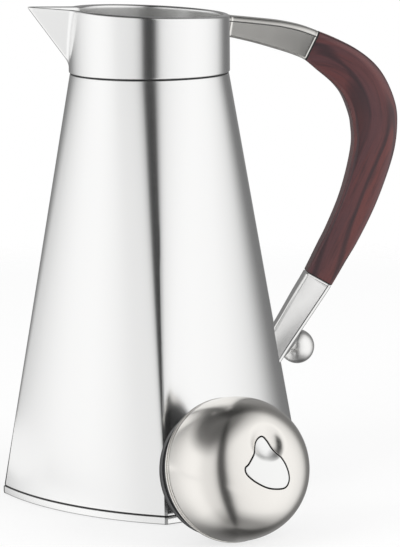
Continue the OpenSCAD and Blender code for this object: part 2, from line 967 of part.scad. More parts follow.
module plug() {
    inner = plug_radius - plug_wall;
    color("dimgray")
        lying()
            difference() {
                union() {
                    tube(plug_radius, inner, -plug_depth, 0);
                    translate([0, 0, -plug_depth])
                        cylinder(r = inner + seat_gap, h = plug_floor);
                    for (turn = stopper_screws)
                        rotate(turn)
                            translate([stopper_screw_reach, 0, -plug_depth])
                                cylinder(r = stopper_boss_radius, h = plug_depth);
                }
                translate([0, 0, -plug_depth - over])
                    cylinder(r = port_radius, h = plug_floor + 2 * over);
                tube(plug_radius + over, plug_radius - groove_depth, seal_low, seal_low + seal_height);
                stopper_screw_holes();
                // pouring slots
                for (turn = slot_turns)
                    rotate(turn)
                        translate([inner - over, -slot_width / 2, slot_low])
                            cube([plug_wall + 3 * over, slot_width, slot_height]);
            }
}

module plug_seal() {
    color("gray")
        lying()
            tube(plug_radius + seal_proud, plug_radius - groove_depth + seat_gap,
                seal_low + seat_gap, seal_low + seal_height - seat_gap);
}

module stopper_deck() {
    rim_outer = dome_radius - dome_wall - deck_slack;
    color("white")
        lying()
            difference() {
                union() {
                    translate([0, 0, deck_bottom])
                        cylinder(r = plug_radius + deck_slack, h = deck_thickness);
                    tube(rim_outer, plug_radius - over, flange_seat + seat_gap, deck_top + deck_rim);
                    translate([0, 0, guide_low])
                        cylinder(r = guide_radius, h = guide_length);
                }
                translate([0, 0, guide_low - over])
                    cylinder(r = stem_radius + running_gap, h = guide_length + 2 * over);
                stopper_screw_holes();
                bracket_holes();
            }
}

module stopper_screws() {
    color("dimgray")
        lying()
            for (turn = stopper_screws)
                rotate(turn)
                    translate([stopper_screw_reach, 0, 0]) {
                        translate([0, 0, screw_low + over])
                            cylinder(r = stopper_screw_radius, h = deck_top - screw_low);
                        translate([0, 0, deck_top])
                            cylinder(r = 1.8 * stopper_screw_radius, h = stopper_head);
                    }
}

module bracket_holes() {
    rotate(lever_turn)
        for (x = bracket_spots)
            translate([x, 0, deck_bottom - over])
                cylinder(r = bracket_screw_radius + running_gap,
                    h = deck_thickness + bracket_thickness + 2 * over);
}

module lever_bracket() {
    inside = boss_half + ear_gap;
    middle = inside + ear_thickness / 2;
    color("silver")
        lying()
            difference() {
                rotate(lever_turn)
                    union() {
                        translate([-bracket_length / 2, -inside - ear_thickness, deck_top])
                            cube([bracket_length, 2 * (inside + ear_thickness), bracket_thickness]);
                        for (side = [-1, 1])
                            translate([-pin_back, side * middle, 0]) {
                                translate([-ear_radius, -ear_thickness / 2, deck_top])
                                    cube([2 * ear_radius, ear_thickness, pin_height - deck_top]);
                                translate([0, 0, pin_height])
                                    rotate([90, 0, 0])
                                        cylinder(r = ear_radius, h = ear_thickness, center = true);
                            }
                    }
                translate([0, 0, deck_top - over])
                    cylinder(r = spring_radius + wire_radius + spring_room,
                        h = bracket_thickness + 2 * over);
                pin_bore();
                bracket_holes();
            }
}

module bracket_screws() {
    color("dimgray")
        lying()
            rotate(lever_turn)
                for (x = bracket_spots)
                    translate([x, 0, 0]) {
                        translate([0, 0, deck_bottom + bracket_screw_lift])
                            cylinder(r = bracket_screw_radius, h = deck_thickness + bracket_thickness);
                        translate([0, 0, deck_top + bracket_thickness])
                            cylinder(r = 1.7 * bracket_screw_radius, h = bracket_head);
                    }
}

module pin_bore() {
    rotate(lever_turn)
        translate([-pin_back, 0, pin_height])
            rotate([90, 0, 0])
                cylinder(r = pin_radius + running_gap, h = pin_length + 2 * over, center = true);
}

module lever() {
    nub_height = stem_top + seat_gap + nub_radius;
    plate_under = dome_height - lever_thickness + plate_bite;
    color("gainsboro")
        lying()
            difference() {
                union() {
                    intersection() {
                        dome_skin(0, lever_thickness);
                        lever_prism(0);
                    }
                    rotate(lever_turn) {
                        // boss round the pin
                        translate([-pin_back, 0, pin_height])
                            rotate([90, 0, 0])
                                cylinder(r = boss_radius, h = 2 * boss_half, center = true);
                        translate([-pin_back - boss_radius / 2, -boss_half, pin_height])
                            cube([boss_radius, 2 * boss_half, plate_under - pin_height]);
                        // nub that presses on the stem's cap
                        translate([nub_reach, 0, nub_height])
                            rotate([90, 0, 0])
                                cylinder(r = nub_radius, h = 2 * nub_half, center = true);
                        translate([nub_reach - nub_web / 2, -nub_half, nub_height])
                            cube([nub_web, 2 * nub_half, plate_under - nub_height]);
                    }
                }
                pin_bore();
            }
}

module lever_pin() {
    color("dimgray")
        lying()
            rotate(lever_turn)
                translate([-pin_back, 0, pin_height])
                    rotate([90, 0, 0])
                        cylinder(r = pin_radius, h = pin_length, center = true);
}

module valve_stem() {
    color("silver")
        lying() {
            translate([0, 0, disc_bottom - stem_foot / 2])
                cylinder(r = stem_radius, h = stem_top - disc_bottom + stem_foot / 2);
            translate([0, 0, disc_bottom - stem_foot])
                cylinder(r = 2 * stem_radius, h = stem_foot);
            translate([0, 0, stem_top - cap_thickness])
                cylinder(r = cap_radius, h = cap_thickness);
        }
}

module valve_disc() {
    color("white")
        lying()
            tube(valve_radius, stem_radius + seat_gap, disc_bottom, disc_top);
}

module valve_washer() {
    color("gray")
        lying()
            tube(valve_radius - washer_inset, stem_radius + seat_gap, disc_top, valve_top);
}

module valve_spring() {
    low = deck_top + wire_radius + seat_gap;
    high = stem_top - cap_thickness - wire_radius - seat_gap;
    per_turn = 14;
    rings = spring_turns * per_turn;
    color("silver")
        lying()
            skin([for (k = [0 : rings])
                let (a = 360 * k / per_turn, z = mix(low, high, k / rings))
                    [for (j = [0 : 7])
                        let (b = 45 * j, r = spring_radius + wire_radius * cos(b))
                            [r * cos(a), r * sin(a), z + wire_radius * sin(b)]]
            ]);
}

outer_shell();
base_band();
base_gasket();
base_plate();
base_screws();
rubber_feet();
flask_cushion();
outer_glass();
inner_glass();
glass_spacers();
flask_seal();
neck_gasket();
collar();
collar_core();
mouth_liner();
spout();
upper_arm();
arm_screw();
wood_grip();
grip_studs();
lower_arm();
ball_screw();
foot_nut();
stopper_dome();
dome_gasket();
stopper_flange();
plug();
plug_seal();
stopper_deck();
stopper_screws();
lever_bracket();
bracket_screws();
lever();
lever_pin();
valve_stem();
valve_disc();
valve_washer();
valve_spring();
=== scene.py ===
# %% [markdown]
# This lesson dresses an insulated coffee pot: a body of brushed steel that
# runs from a square foot to a round neck, a handle of steel and rosewood, and
# a stopper that lies beside it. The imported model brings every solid, body and
# joint. Blender adds what shows: smooth shells with eased edges, finishes
# built from nodes, and a studio that draws out the satin sheen.

import math

import bmesh
import bpy
import numpy as np
from mathutils import Matrix, Vector


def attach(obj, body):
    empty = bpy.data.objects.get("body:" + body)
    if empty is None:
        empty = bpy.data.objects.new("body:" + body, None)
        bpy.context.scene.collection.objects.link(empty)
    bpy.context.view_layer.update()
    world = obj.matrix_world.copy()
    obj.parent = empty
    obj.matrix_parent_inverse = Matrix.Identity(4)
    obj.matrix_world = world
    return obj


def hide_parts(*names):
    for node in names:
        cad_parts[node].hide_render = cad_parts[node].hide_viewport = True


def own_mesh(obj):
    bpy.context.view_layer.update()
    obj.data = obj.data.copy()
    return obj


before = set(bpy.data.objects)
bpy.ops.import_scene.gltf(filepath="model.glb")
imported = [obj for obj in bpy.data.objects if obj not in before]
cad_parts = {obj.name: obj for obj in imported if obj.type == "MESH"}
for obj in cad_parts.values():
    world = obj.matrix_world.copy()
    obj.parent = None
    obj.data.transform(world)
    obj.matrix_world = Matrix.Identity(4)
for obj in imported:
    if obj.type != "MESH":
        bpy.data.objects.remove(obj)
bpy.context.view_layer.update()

# %% [markdown]
# Most pieces here are rows of points skinned into a closed shell: a lathe
# turned, a sheet drawn or a bar bent. Modifiers could round a plain block, but
# rows give each edge its own rounding and lay the mesh along the form, which
# keeps reflections clean. Edges sharper than a set angle stay crisp and the
# rest is shaded smooth, as on polished metal. Points are in millimetres, the
# maker's unit, and the sizes repeat those of the solids.

# %% A piece from rows of points
MM = 0.001


def new_piece(name, points, faces, body, slot, sharp=35):
    """Makes a smooth-shaded mesh piece from points in millimetres."""
    mesh = bpy.data.meshes.new(name)
    mesh.from_pydata([tuple(p) for p in np.asarray(points, float) * MM], [], faces)
    work = bmesh.new()
    work.from_mesh(mesh)
    bmesh.ops.remove_doubles(work, verts=work.verts, dist=1e-6)
    bmesh.ops.recalc_face_normals(work, faces=work.faces)
    for face in work.faces:
        face.smooth = True
    for edge in work.edges:
        if len(edge.link_faces) == 2:
            edge.smooth = edge.calc_face_angle(0) < math.radians(sharp)
    work.to_mesh(mesh)
    work.free()
    piece = bpy.data.objects.new(name, mesh)
    bpy.context.scene.collection.objects.link(piece)
    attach(piece, body)
    return piece


def skin(rows, closed_rows=False):
    """Points and faces of a skin through rows of points, each row a loop."""
    rows = np.asarray(rows, float)
    count, around = rows.shape[:2]
    faces = []
    last = count if closed_rows else count - 1
    for i in range(last):
        near = i * around
        far = ((i + 1) % count) * around
        for j in range(around):
            k = (j + 1) % around
            faces.append((near + j, near + k, far + k, far + j))
    if not closed_rows:
        faces.append(tuple(range(around - 1, -1, -1)))
        faces.append(tuple((count - 1) * around + j for j in range(around)))
    return rows.reshape(-1, 3), faces


def eased(radius, *angles):
    """Steps round an eased edge: how far each lies in from the face and back from the end."""
    leans = [math.radians(a) for a in angles]
    return [(radius * (1 - math.cos(lean)), radius * (1 - math.sin(lean))) for lean in leans]


print("an edge of radius 1, eased:", [(round(a, 2), round(b, 2)) for a, b in eased(1, 0, 45, 90)])

# %% [markdown]
# The foot of the body is a square with bowed sides and eased corners. Each
# side is an arc, and each corner a smaller arc that joins two of them. A list
# of directions describes it best: for any direction there is one point of the
# outline that faces that way, and a corner gets as many points as it turns.

# %% The bowed outline of the foot
SIDE_REACH = 78.9
SIDE_RADIUS = 168
CORNER_REACH = 92.696
CORNER_EASE = 6.0
ARC_OFFSET = SIDE_RADIUS - SIDE_REACH
ARC_RADIUS = SIDE_RADIUS - CORNER_EASE
EASE_REACH = CORNER_REACH - CORNER_EASE
ARC_HALF = math.acos((ARC_OFFSET**2 + ARC_RADIUS**2 - EASE_REACH**2) / (2 * ARC_OFFSET * ARC_RADIUS))
TURNS = [
    (quarter + share) * math.pi / 2
    for quarter in range(4)
    for share in np.linspace(0, 1, 56, endpoint=False)
]


def outline_point(turn, grow=0.0):
    """Point of the foot's outline whose outward direction is turn."""
    side = math.pi / 4 + math.floor(turn / (math.pi / 2)) * math.pi / 2
    lean = max(-ARC_HALF, min(ARC_HALF, turn - side))
    x = -ARC_OFFSET * math.cos(side) + ARC_RADIUS * math.cos(side + lean)
    y = -ARC_OFFSET * math.sin(side) + ARC_RADIUS * math.sin(side + lean)
    return x + (CORNER_EASE + grow) * math.cos(turn), y + (CORNER_EASE + grow) * math.sin(turn)


print("outline:", len(TURNS), "points, corner at", round(outline_point(0)[0], 2))

# %% [markdown]
# The body shell is one sheet, drawn from the bowed square to the round neck.
# Every straight line on it joins two points that face the same way, so the
# sheet never twists. A loft through a few sections would bulge between them.
# Rows laid along these lines need no smoothing, and bend the light as the
# rolled sheet does.

# %% Body shell
SHELL_LOW = 5.7
SHELL_WALL = 0.9
SHELL_EDGE = 0.4
NECK_RADIUS = 48.5
NECK_HEIGHT = 260.3


def shell_row(z, inset):
    """Row of the body shell at height z, set in by inset."""
    share = (z - SHELL_LOW) / (NECK_HEIGHT - SHELL_LOW)
    row = []
    for t in TURNS:
        foot = outline_point(t)
        x = foot[0] + (NECK_RADIUS * math.cos(t) - foot[0]) * share
        y = foot[1] + (NECK_RADIUS * math.sin(t) - foot[1]) * share
        row.append((x - inset * math.cos(t), y - inset * math.sin(t), z))
    return row


shell_rows = [shell_row(SHELL_LOW, SHELL_WALL)]
shell_rows += [shell_row(SHELL_LOW + back, inset) for inset, back in eased(SHELL_EDGE, 90, 60, 30, 0)]
shell_rows += [shell_row(z, 0) for z in np.linspace(SHELL_LOW + 2, NECK_HEIGHT - 2, 26)]
shell_rows += [shell_row(NECK_HEIGHT - back, inset) for inset, back in eased(SHELL_EDGE, 0, 30, 60, 90)]
shell_rows.append(shell_row(NECK_HEIGHT, SHELL_WALL))
body_shell = new_piece("body_shell", *skin(shell_rows, True), "pot", "brushed_steel")
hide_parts("outer_shell")
print("body shell:", len(body_shell.data.vertices), "points")

# %% [markdown]
# The band at the foot is a separate rolled strip, with a lip inside that
# carries the base. Its lower edge is well rounded, and a thin shadow gap above
# it shows the black gasket. The same outline, grown by a little, carries its
# profile all the way round, so band and shell stay in line at the corners.

# %% Base band
BAND_LOW = 0.3
BAND_TOP = 4.95
BAND_PROUD = 0.6
BAND_INNER = -1.4
LOWER_ROUND = 1.3
UPPER_ROUND = 0.35
LIP_LOW = 3.1
LIP_INSET = 10.4
band_profile = [(BAND_LOW, BAND_INNER)]
for inset, back in eased(LOWER_ROUND, 0, 18, 36, 54, 72, 90):
    band_profile.append((BAND_LOW + inset, BAND_PROUD - back))
for inset, back in eased(UPPER_ROUND, 0, 30, 60, 90):
    band_profile.append((BAND_TOP - back, BAND_PROUD - inset))
band_profile += [(BAND_TOP, -LIP_INSET), (LIP_LOW, -LIP_INSET), (LIP_LOW, BAND_INNER)]
band_rows = [[(*outline_point(t, grow), z) for t in TURNS] for z, grow in band_profile]
foot_band = new_piece("foot_band", *skin(band_rows, True), "pot", "brushed_steel")
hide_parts("base_band")
print("foot band:", len(band_profile), "rows")

# %% [markdown]
# The collar and the spout are welded and ground into one piece on the real
# pot. Two meshes joined by a boolean would meet in a hard crease. So their
# shared surface is found as the place where a smooth blend of two distances,
# to a round wall and to a leaning wedge, is nought. The blend leaves the small
# hollow fillet that catches the light beside the spout.

# %% Distances to the wedge and the wall
COLLAR_RADIUS = 49.1
MOUTH_RADIUS = 44.0
RIM_HEIGHT = 298.0
RIM_TILT = math.radians(2.8)
SPOUT_REACH = 74.0
SPOUT_LOW = 267.2
SPOUT_HALF = math.radians(31.2)
SPOUT_WALL = 2.0
SPOUT_ROUND = 4.0
SPOUT_FILLET = 2.0
spout_tip = RIM_HEIGHT + SPOUT_REACH * math.tan(RIM_TILT)
spout_lean = math.atan((SPOUT_REACH - COLLAR_RADIUS) / (spout_tip - SPOUT_LOW))


def wedge_distance(x, y, z):
    """Distance outside the spout's rounded wedge."""
    u = (x + COLLAR_RADIUS) * math.cos(spout_lean) + (z - SPOUT_LOW) * math.sin(spout_lean)
    u = u - SPOUT_ROUND
    y = np.abs(y)
    along = u * math.cos(SPOUT_HALF) + y * math.sin(SPOUT_HALF)
    across = y * math.cos(SPOUT_HALF) - u * math.sin(SPOUT_HALF)
    outside = np.where(along > 0, across, np.hypot(u, y)) - SPOUT_ROUND
    return np.where(x < -MOUTH_RADIUS / 2, outside, SPOUT_REACH)


def blend_low(a, b, width):
    """The lower of two distances, with a smooth change between them."""
    share = np.clip(0.5 + 0.5 * (b - a) / width, 0, 1)
    return b + (a - b) * share - width * share * (1 - share)


print("spout leans out", round(math.degrees(spout_lean), 1), "degrees")

# %% [markdown]
# In each direction from the pot's axis the surface is found by halving: a
# reach that is too short and one that is too long close in on the wall
# between them. Directions crowd together round the spout, where the form
# changes fast.

# %% The reach of the wall
SPOUT_SPREAD = math.radians(44)
closeness = np.linspace(-1, 1, 221)
near_turns = SPOUT_SPREAD * np.sign(closeness) * np.abs(closeness) ** 1.25
far_turns = np.linspace(SPOUT_SPREAD, 2 * math.pi - SPOUT_SPREAD, 150)[1:-1]
collar_turns = np.concatenate([math.pi + near_turns, math.pi + far_turns])


def wall_reach(z, round_radius, inset):
    """Distance from the axis to the wall in each direction, at heights z."""
    low = np.full_like(collar_turns, 30.0)
    high = np.full_like(collar_turns, 100.0)
    for _ in range(34):
        r = (low + high) / 2
        wedge = wedge_distance(r * np.cos(collar_turns), r * np.sin(collar_turns), z) + inset
        out = blend_low(wedge, r - round_radius, SPOUT_FILLET) > 0
        high = np.where(out, r, high)
        low = np.where(out, low, r)
    return (low + high) / 2


def rim_reach(round_radius, inset):
    """Reach and height of a wall where it meets the tilted rim."""
    z = np.full_like(collar_turns, RIM_HEIGHT)
    for _ in range(12):
        r = wall_reach(z, round_radius, inset)
        z = RIM_HEIGHT - r * np.cos(collar_turns) * math.tan(RIM_TILT)
    return r, z


OUTER = (COLLAR_RADIUS, 0.0)
INNER = (MOUTH_RADIUS, SPOUT_WALL)
outer_reach, outer_rim = rim_reach(*OUTER)
inner_reach, inner_rim = rim_reach(*INNER)
print("spout reaches", round(float(outer_reach.max()), 1), "from the axis")

# %% [markdown]
# The rows climb the outside, turn over the rim and go down inside to the seat
# of the stopper. The rim is broad round the mouth and thin at the spout, so its
# rounding is a share of its own width.

# %% Collar and spout
COLLAR_LOW = 261.3
COLLAR_EDGE = 0.5
SEAT_HEIGHT = 262.5


def ring(r, z):
    return np.stack([r * np.cos(collar_turns), r * np.sin(collar_turns), z], 1)


def all_round(value):
    return np.full_like(collar_turns, value)


rim_round = np.clip(0.47 * (outer_reach - inner_reach), 0.2, 1.5)
collar_rows = []
for inset, back in eased(COLLAR_EDGE, 90, 60, 30, 0):
    z = all_round(COLLAR_LOW + back)
    collar_rows.append(ring(wall_reach(z, *OUTER) - inset, z))
for share in np.linspace(0, 1, 60)[1:]:
    z = COLLAR_LOW + COLLAR_EDGE + (outer_rim - rim_round - COLLAR_LOW - COLLAR_EDGE) * share
    collar_rows.append(ring(wall_reach(z, *OUTER), z))
for inset, back in eased(rim_round, 18, 36, 54, 72, 90):
    z = outer_rim - back
    collar_rows.append(ring(wall_reach(z, *OUTER) - inset, z))
for inset, back in eased(rim_round, 90, 72, 54, 36, 18, 0):
    z = inner_rim - back
    collar_rows.append(ring(wall_reach(z, *INNER) + inset, z))
for share in np.linspace(0, 1, 50)[1:]:
    z = inner_rim - rim_round + (SEAT_HEIGHT - inner_rim + rim_round) * share
    r = np.where(z < SEAT_HEIGHT + 1.0, MOUTH_RADIUS, wall_reach(z, *INNER))
    collar_rows.append(ring(r, z))
collar_rows.append(ring(all_round(MOUTH_RADIUS), all_round(COLLAR_LOW + 0.05)))
spouted_collar = new_piece("spouted_collar", *skin(collar_rows, True), "pot", "brushed_steel", 50)
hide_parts("collar", "spout", "mouth_liner")
print("collar and spout:", len(spouted_collar.data.vertices), "points")

# %% [markdown]
# The handle is one line from the collar to the foot: steel, then wood, then
# steel. Its stations say how far down and how far out the line is, and how
# deep and thick the bar is there. A smooth curve through all of them keeps the
# three lengths in one sweep, as the carver blends the wood into the metal.

# %% The line of the handle
STATIONS = [
    (-0.006, -0.1, 6.6, 6.3), (0, 0, 6.8, 6.3), (0.013, 0.17, 7.6, 6.4),
    (0.028, 0.335, 8.6, 6.6), (0.044, 0.475, 9.2, 6.9), (0.064, 0.592, 9.6, 7.3),
    (0.097, 0.719, 11.4, 8), (0.14, 0.858, 13, 8.9), (0.19, 0.95, 14.1, 9.4),
    (0.26, 1, 14.5, 9.6), (0.316, 1, 14, 9.6), (0.383, 0.968, 13, 9.5),
    (0.47, 0.884, 11.9, 9.2), (0.562, 0.772, 10.9, 8.7), (0.655, 0.632, 10.1, 8.2),
    (0.716, 0.527, 9.6, 7.8), (0.796, 0.39, 9, 7.3), (0.856, 0.275, 8.7, 6.9),
    (0.932, 0.13, 8.1, 6.5), (1, 0, 7.6, 6.2), (1.066, -0.12, 7.2, 6),
]
GRIP_START = 5
GRIP_END = 16
ARM_HEIGHT = 288.3
FOOT_HEIGHT = 91.0
GRIP_BULGE = 79.0
RIDGE_SLOPE = (CORNER_REACH - NECK_RADIUS) / (NECK_HEIGHT - SHELL_LOW)
FOOT_CORNER = CORNER_REACH - RIDGE_SLOPE * (FOOT_HEIGHT - SHELL_LOW)
ARM_ROOT = COLLAR_RADIUS + 1.4


def smooth_between(a, b, c, d, t):
    """Point at share t between b and c, on a smooth curve that also heeds a and d."""
    return 0.5 * (
        2 * b + (c - a) * t + (2 * a - 5 * b + 4 * c - d) * t**2 + (3 * b - a - 3 * c + d) * t**3
    )


def station(i):
    down, out, depth, thick = STATIONS[max(0, min(len(STATIONS) - 1, i))]
    x = ARM_ROOT + (FOOT_CORNER - ARM_ROOT) * down + GRIP_BULGE * out
    return np.array([x, ARM_HEIGHT + (FOOT_HEIGHT - ARM_HEIGHT) * down, depth, thick])


def handle_at(u):
    """Distance out, height, depth and thickness of the handle at station u."""
    i = math.floor(u)
    return smooth_between(*(station(i + k) for k in (-1, 0, 1, 2)), u - i)


def handle_along(u):
    step = (handle_at(u + 0.02) - handle_at(u - 0.02))[:2]
    return step / np.linalg.norm(step)


print("handle bulges to", round(float(handle_at(9)[0]), 1))

# %% [markdown]
# Across the handle the section is a bar with rounded edges. The outer edges
# are small on the steel and wide on the bulge of the grip, where a hand closes
# round them, and the inner ones are nearly crisp. On the steel a fine seam
# runs between the side and the crowned back. At its root the upper arm's back
# lies a little under the rim.

# %% The section of the handle
ROUND_AT = [0, 2, 4, 5, 6, 7.5, 9, 10.5, 12, 14, 16, 20]
OUTER_ROUND = [3.2, 3.3, 3.5, 3.6, 3.8, 5.6, 6.4, 6.4, 5.4, 3.0, 2.1, 2.1]
INNER_ROUND = [1.9, 1.9, 1.9, 1.9, 2.6, 3.4, 4.0, 4.0, 3.6, 2.6, 1.9, 1.9]
BACK_STEPS = 10
SEAM = 0.8
CREASE = math.radians(10)


def handle_ring(u, shrink=0.0, shift=0.0, flare=0.0, seam=SEAM):
    """Ring of points across the handle at station u."""
    x, z, depth, thick = handle_at(u)
    along = handle_along(u)
    thick = thick - shrink + flare
    back = depth - shrink - np.interp(u, [1, 3], [0.6, 0])
    crease = CREASE if seam else 0.0
    outer = max(np.interp(u, ROUND_AT, OUTER_ROUND) - shrink, 0.3)
    inner = max(np.interp(u, ROUND_AT, INNER_ROUND) + flare - shrink, 0.3)
    half = []
    for a in np.linspace(math.pi / 2, crease, BACK_STEPS):
        out = thick - outer * (math.cos(crease) - math.cos(a))
        half.append((back - outer * (1 - math.sin(a)), out))
    foot = half[-1][0]
    if seam:
        half += [(foot - 0.2 * seam, thick), (foot - 0.6 * seam, thick - seam), (foot - seam, thick)]
    low = -(depth - shrink + flare)
    for a in np.linspace(0, math.pi / 2, 8):
        half.append((low + inner * (1 - math.sin(a)), thick - inner * (1 - math.cos(a))))
    section = half + [(p, -q) for p, q in reversed(half)]
    return [
        (x - along[1] * p + along[0] * shift, q, z + along[0] * p + along[1] * shift)
        for p, q in section
    ]


def bar(first, last, steps, chamfer, gap=0.0, seam=SEAM, eased_end=True):
    """Rings of one length of the handle, its ends eased by a small chamfer."""
    starts = eased(chamfer, 0, 30, 60)
    rings = [handle_ring(first, back, gap + 0.9 * inset, 0, seam) for inset, back in starts]
    rings.append(handle_ring(first, 0, gap + chamfer, 0, seam))
    rings += [handle_ring(u, 0, 0, 0, seam) for u in np.linspace(first, last, steps)[1:-1]]
    if not eased_end:
        return rings + [handle_ring(last, 0, 0, 0, seam)]
    rings.append(handle_ring(last, 0, -gap - chamfer, 0, seam))
    ends = starts[::-1]
    return rings + [handle_ring(last, back, -gap - 0.9 * inset, 0, seam) for inset, back in ends]


print("section:", len(handle_ring(2)), "points on steel,", len(handle_ring(9, seam=0)), "on wood")

# %% [markdown]
# The upper arm is cast steel, ground into the collar with a small fillet at
# its sides and below. Its top is level with the rim and has none. Flaring the
# last rings by the fillet's own arc is simpler than blending two meshes, and
# keeps the seam running straight into the collar.

# %% Upper arm
FILLET = 1.6
ARM_CHAMFER = 0.8


def fillet_flare(u):
    """How much the arm swells at station u, near the collar."""
    gap = handle_at(u)[0] - (COLLAR_RADIUS - 0.3)
    near = min(max(FILLET - gap, 0), FILLET)
    return FILLET - math.sqrt(FILLET**2 - near**2)


arm_us = np.concatenate([np.linspace(0.45, 1.25, 22), np.linspace(1.25, GRIP_START, 40)[1:-1]])
arm_rows = [handle_ring(u, 0, 0, fillet_flare(u)) for u in arm_us]
arm_rows.append(handle_ring(GRIP_START, 0, -ARM_CHAMFER))
for inset, back in eased(1, 60, 30, 0):
    arm_rows.append(handle_ring(GRIP_START, ARM_CHAMFER * back, -0.75 * inset))
steel_upper_arm = new_piece("steel_upper_arm", *skin(arm_rows), "pot", "cast_steel", 9.5)
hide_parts("upper_arm")
print("upper arm:", len(arm_rows), "rings")

# %% [markdown]
# The grip is one carved piece of rosewood, held between the arms. It stands
# off them by a hair, and its ends are slightly eased so that the wood doesn't
# chip. Those ends are painted near black as the shade in that gap, which shows
# as a dark line at each end.

# %% Grip and lower arm
grip_rows = bar(GRIP_START, GRIP_END, 110, 0.6, gap=0.25, seam=0)
rosewood_grip = new_piece("rosewood_grip", *skin(grip_rows), "pot", "rosewood", 50)
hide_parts("wood_grip")
lower_rows = bar(GRIP_END, len(STATIONS) - 1, 50, ARM_CHAMFER, eased_end=False)
steel_lower_arm = new_piece("steel_lower_arm", *skin(lower_rows), "pot", "cast_steel", 9.5)
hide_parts("lower_arm")
print("grip and lower arm:", len(grip_rows), "and", len(lower_rows), "rings")

# %% [markdown]
# The ball under the handle's foot is the head of the screw that holds it. It
# is turned on a lathe with a short neck, so it meets the body with a small
# shadow, and its side is cut flush where the back of the arm lies on it. A
# turned profile gives an even mesh, with no pole in view.

# %% Ball
BALL_RADIUS = 10.7
BALL_OUT = 11.7
BALL_DOWN = 4.6
FLUSH_AT = 18.5


def lathe_rows(profile, steps):
    """Rows of a turned piece: profile is a list of (radius, height)."""
    turn = np.linspace(0, 2 * math.pi, steps, endpoint=False)
    return [np.stack([r * np.cos(turn), r * np.sin(turn), np.full(steps, z)], 1) for r, z in profile]


ball_profile = [(0.01, -6.0), (2.4, -6.0), (2.4, -0.4), (3.6, 0.0)]
for lean in np.radians(np.linspace(-70, 90, 60)):
    reach = max(BALL_RADIUS * math.cos(lean), 0.01)
    ball_profile.append((reach, BALL_OUT + BALL_RADIUS * math.sin(lean)))
rows = np.array(lathe_rows(ball_profile, 96))
ridge_lean = math.atan(RIDGE_SLOPE)
out = np.array([math.cos(ridge_lean), 0, math.sin(ridge_lean)])
down = np.array([math.sin(ridge_lean), 0, -math.cos(ridge_lean)])
side = np.array([0.0, 1.0, 0.0])
seat = np.array([FOOT_CORNER, 0, FOOT_HEIGHT]) + BALL_DOWN * down
rows = seat + rows[..., :1] * down + rows[..., 1:2] * side + rows[..., 2:] * out
arm_x, arm_z, arm_depth, arm_thick = handle_at(FLUSH_AT)
arm_way = handle_along(FLUSH_AT)
back_way = np.array([-arm_way[1], 0, arm_way[0]])
back_spot = np.array([arm_x, 0, arm_z]) + arm_depth * back_way
inside = np.minimum((rows - back_spot) @ back_way, 0)
rows = rows - inside[..., None] * back_way
steel_ball = new_piece("steel_ball", *skin(rows), "pot", "cast_steel", 40)
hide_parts("ball_screw")
print("ball at", [round(float(v), 1) for v in seat + BALL_OUT * out])

# %% [markdown]
# The stopper is built upright in a frame of its own, flange at nought and dome
# up, and then laid on its side: it rests on the flange's edge and on the
# plug's. Working upright keeps every size plain, and one matrix moves all its
# pieces to the table.

# %% The stopper's own frame
FLANGE_RADIUS = 42.4
PLUG_RADIUS = 37.8
PLUG_DEPTH = 16.2
LIE = (34.4, -126.996)
LIE_TURN = math.radians(-66.7)
LEVER_TURN = math.radians(158.7)
lie_tilt = math.atan((FLANGE_RADIUS - PLUG_RADIUS) / PLUG_DEPTH)
lay_down = (
    Matrix.Translation((*LIE, FLANGE_RADIUS * math.cos(lie_tilt)))
    @ Matrix.Rotation(LIE_TURN, 4, "Z")
    @ Matrix.Rotation(math.pi / 2 - lie_tilt, 4, "Y")
    @ Matrix.Rotation(LEVER_TURN, 4, "Z")
)
LAY = np.array(lay_down)


def laid(rows):
    """Moves rows from the stopper's frame, lever tip along X, to the table."""
    return np.asarray(rows, float) @ LAY[:3, :3].T + LAY[:3, 3]


print("stopper leans", round(math.degrees(lie_tilt), 1), "degrees from lying level")

# %% [markdown]
# The dome is a squared-off bell with a soft hollow for the thumb, and the
# pouring lever is cut from the same pressing, with a thin gap all round it.
# One function gives the height of that surface at any spot, so dome and lever
# share it exactly. The hollow is part of a ball, blended into the bell.

# %% The dome's surface
DOME_RADIUS = 42.1
DOME_HEIGHT = 43.3
DOME_POWER = 2.8
DOME_WALL = 1.0
DOME_FOOT = 1.9
HOLLOW_BALL = 17.0
HOLLOW_REACH = 14.0
HOLLOW_SIDE = 0.7
HOLLOW_FLOOR = 38.2
HOLLOW_BLEND = 2.0


def crown_height(x, y):
    """Height of the dome's crown, with the thumb hollow blended in."""
    reach = np.clip(np.hypot(x, y) / DOME_RADIUS, 0, 1)
    bell = DOME_FOOT + (DOME_HEIGHT - DOME_FOOT) * (1 - reach**DOME_POWER) ** (1 / DOME_POWER)
    away = np.hypot(x - HOLLOW_REACH, y - HOLLOW_SIDE)
    ball = HOLLOW_FLOOR + HOLLOW_BALL - np.sqrt(np.clip(HOLLOW_BALL**2 - away**2, 0, None))
    return blend_low(bell, ball, HOLLOW_BLEND)


def crown_row(loop, drop=0.0):
    return np.column_stack([loop, crown_height(loop[:, 0], loop[:, 1]) - drop])


print("hollow's depth:", round(float(crown_height(0, 0) - crown_height(HOLLOW_REACH, 0)), 2))

# %% [markdown]
# The lever's outline is a leaf with a narrow tip. A smooth closed curve through
# a few points draws it, and the same curve, grown by the gap, cuts the dome.
# Each point of the leaf starts one column of the mesh, so the columns of dome
# and lever face each other across the gap.

# %% The lever's outline
LEVER_GAP = 0.8
LEVER_EDGE = [
    (15.5, 3.2), (13.8, -0.6), (9.4, -4.9), (3.4, -12.4), (-2.2, -16.5),
    (-6.8, -17.2), (-10.2, -14.5), (-12.4, -5.7), (-11.3, 3.1),
    (-8.6, 9.5), (-5.5, 11.4), (-2.8, 9.9), (4.8, 7.5), (11.8, 6.3),
]


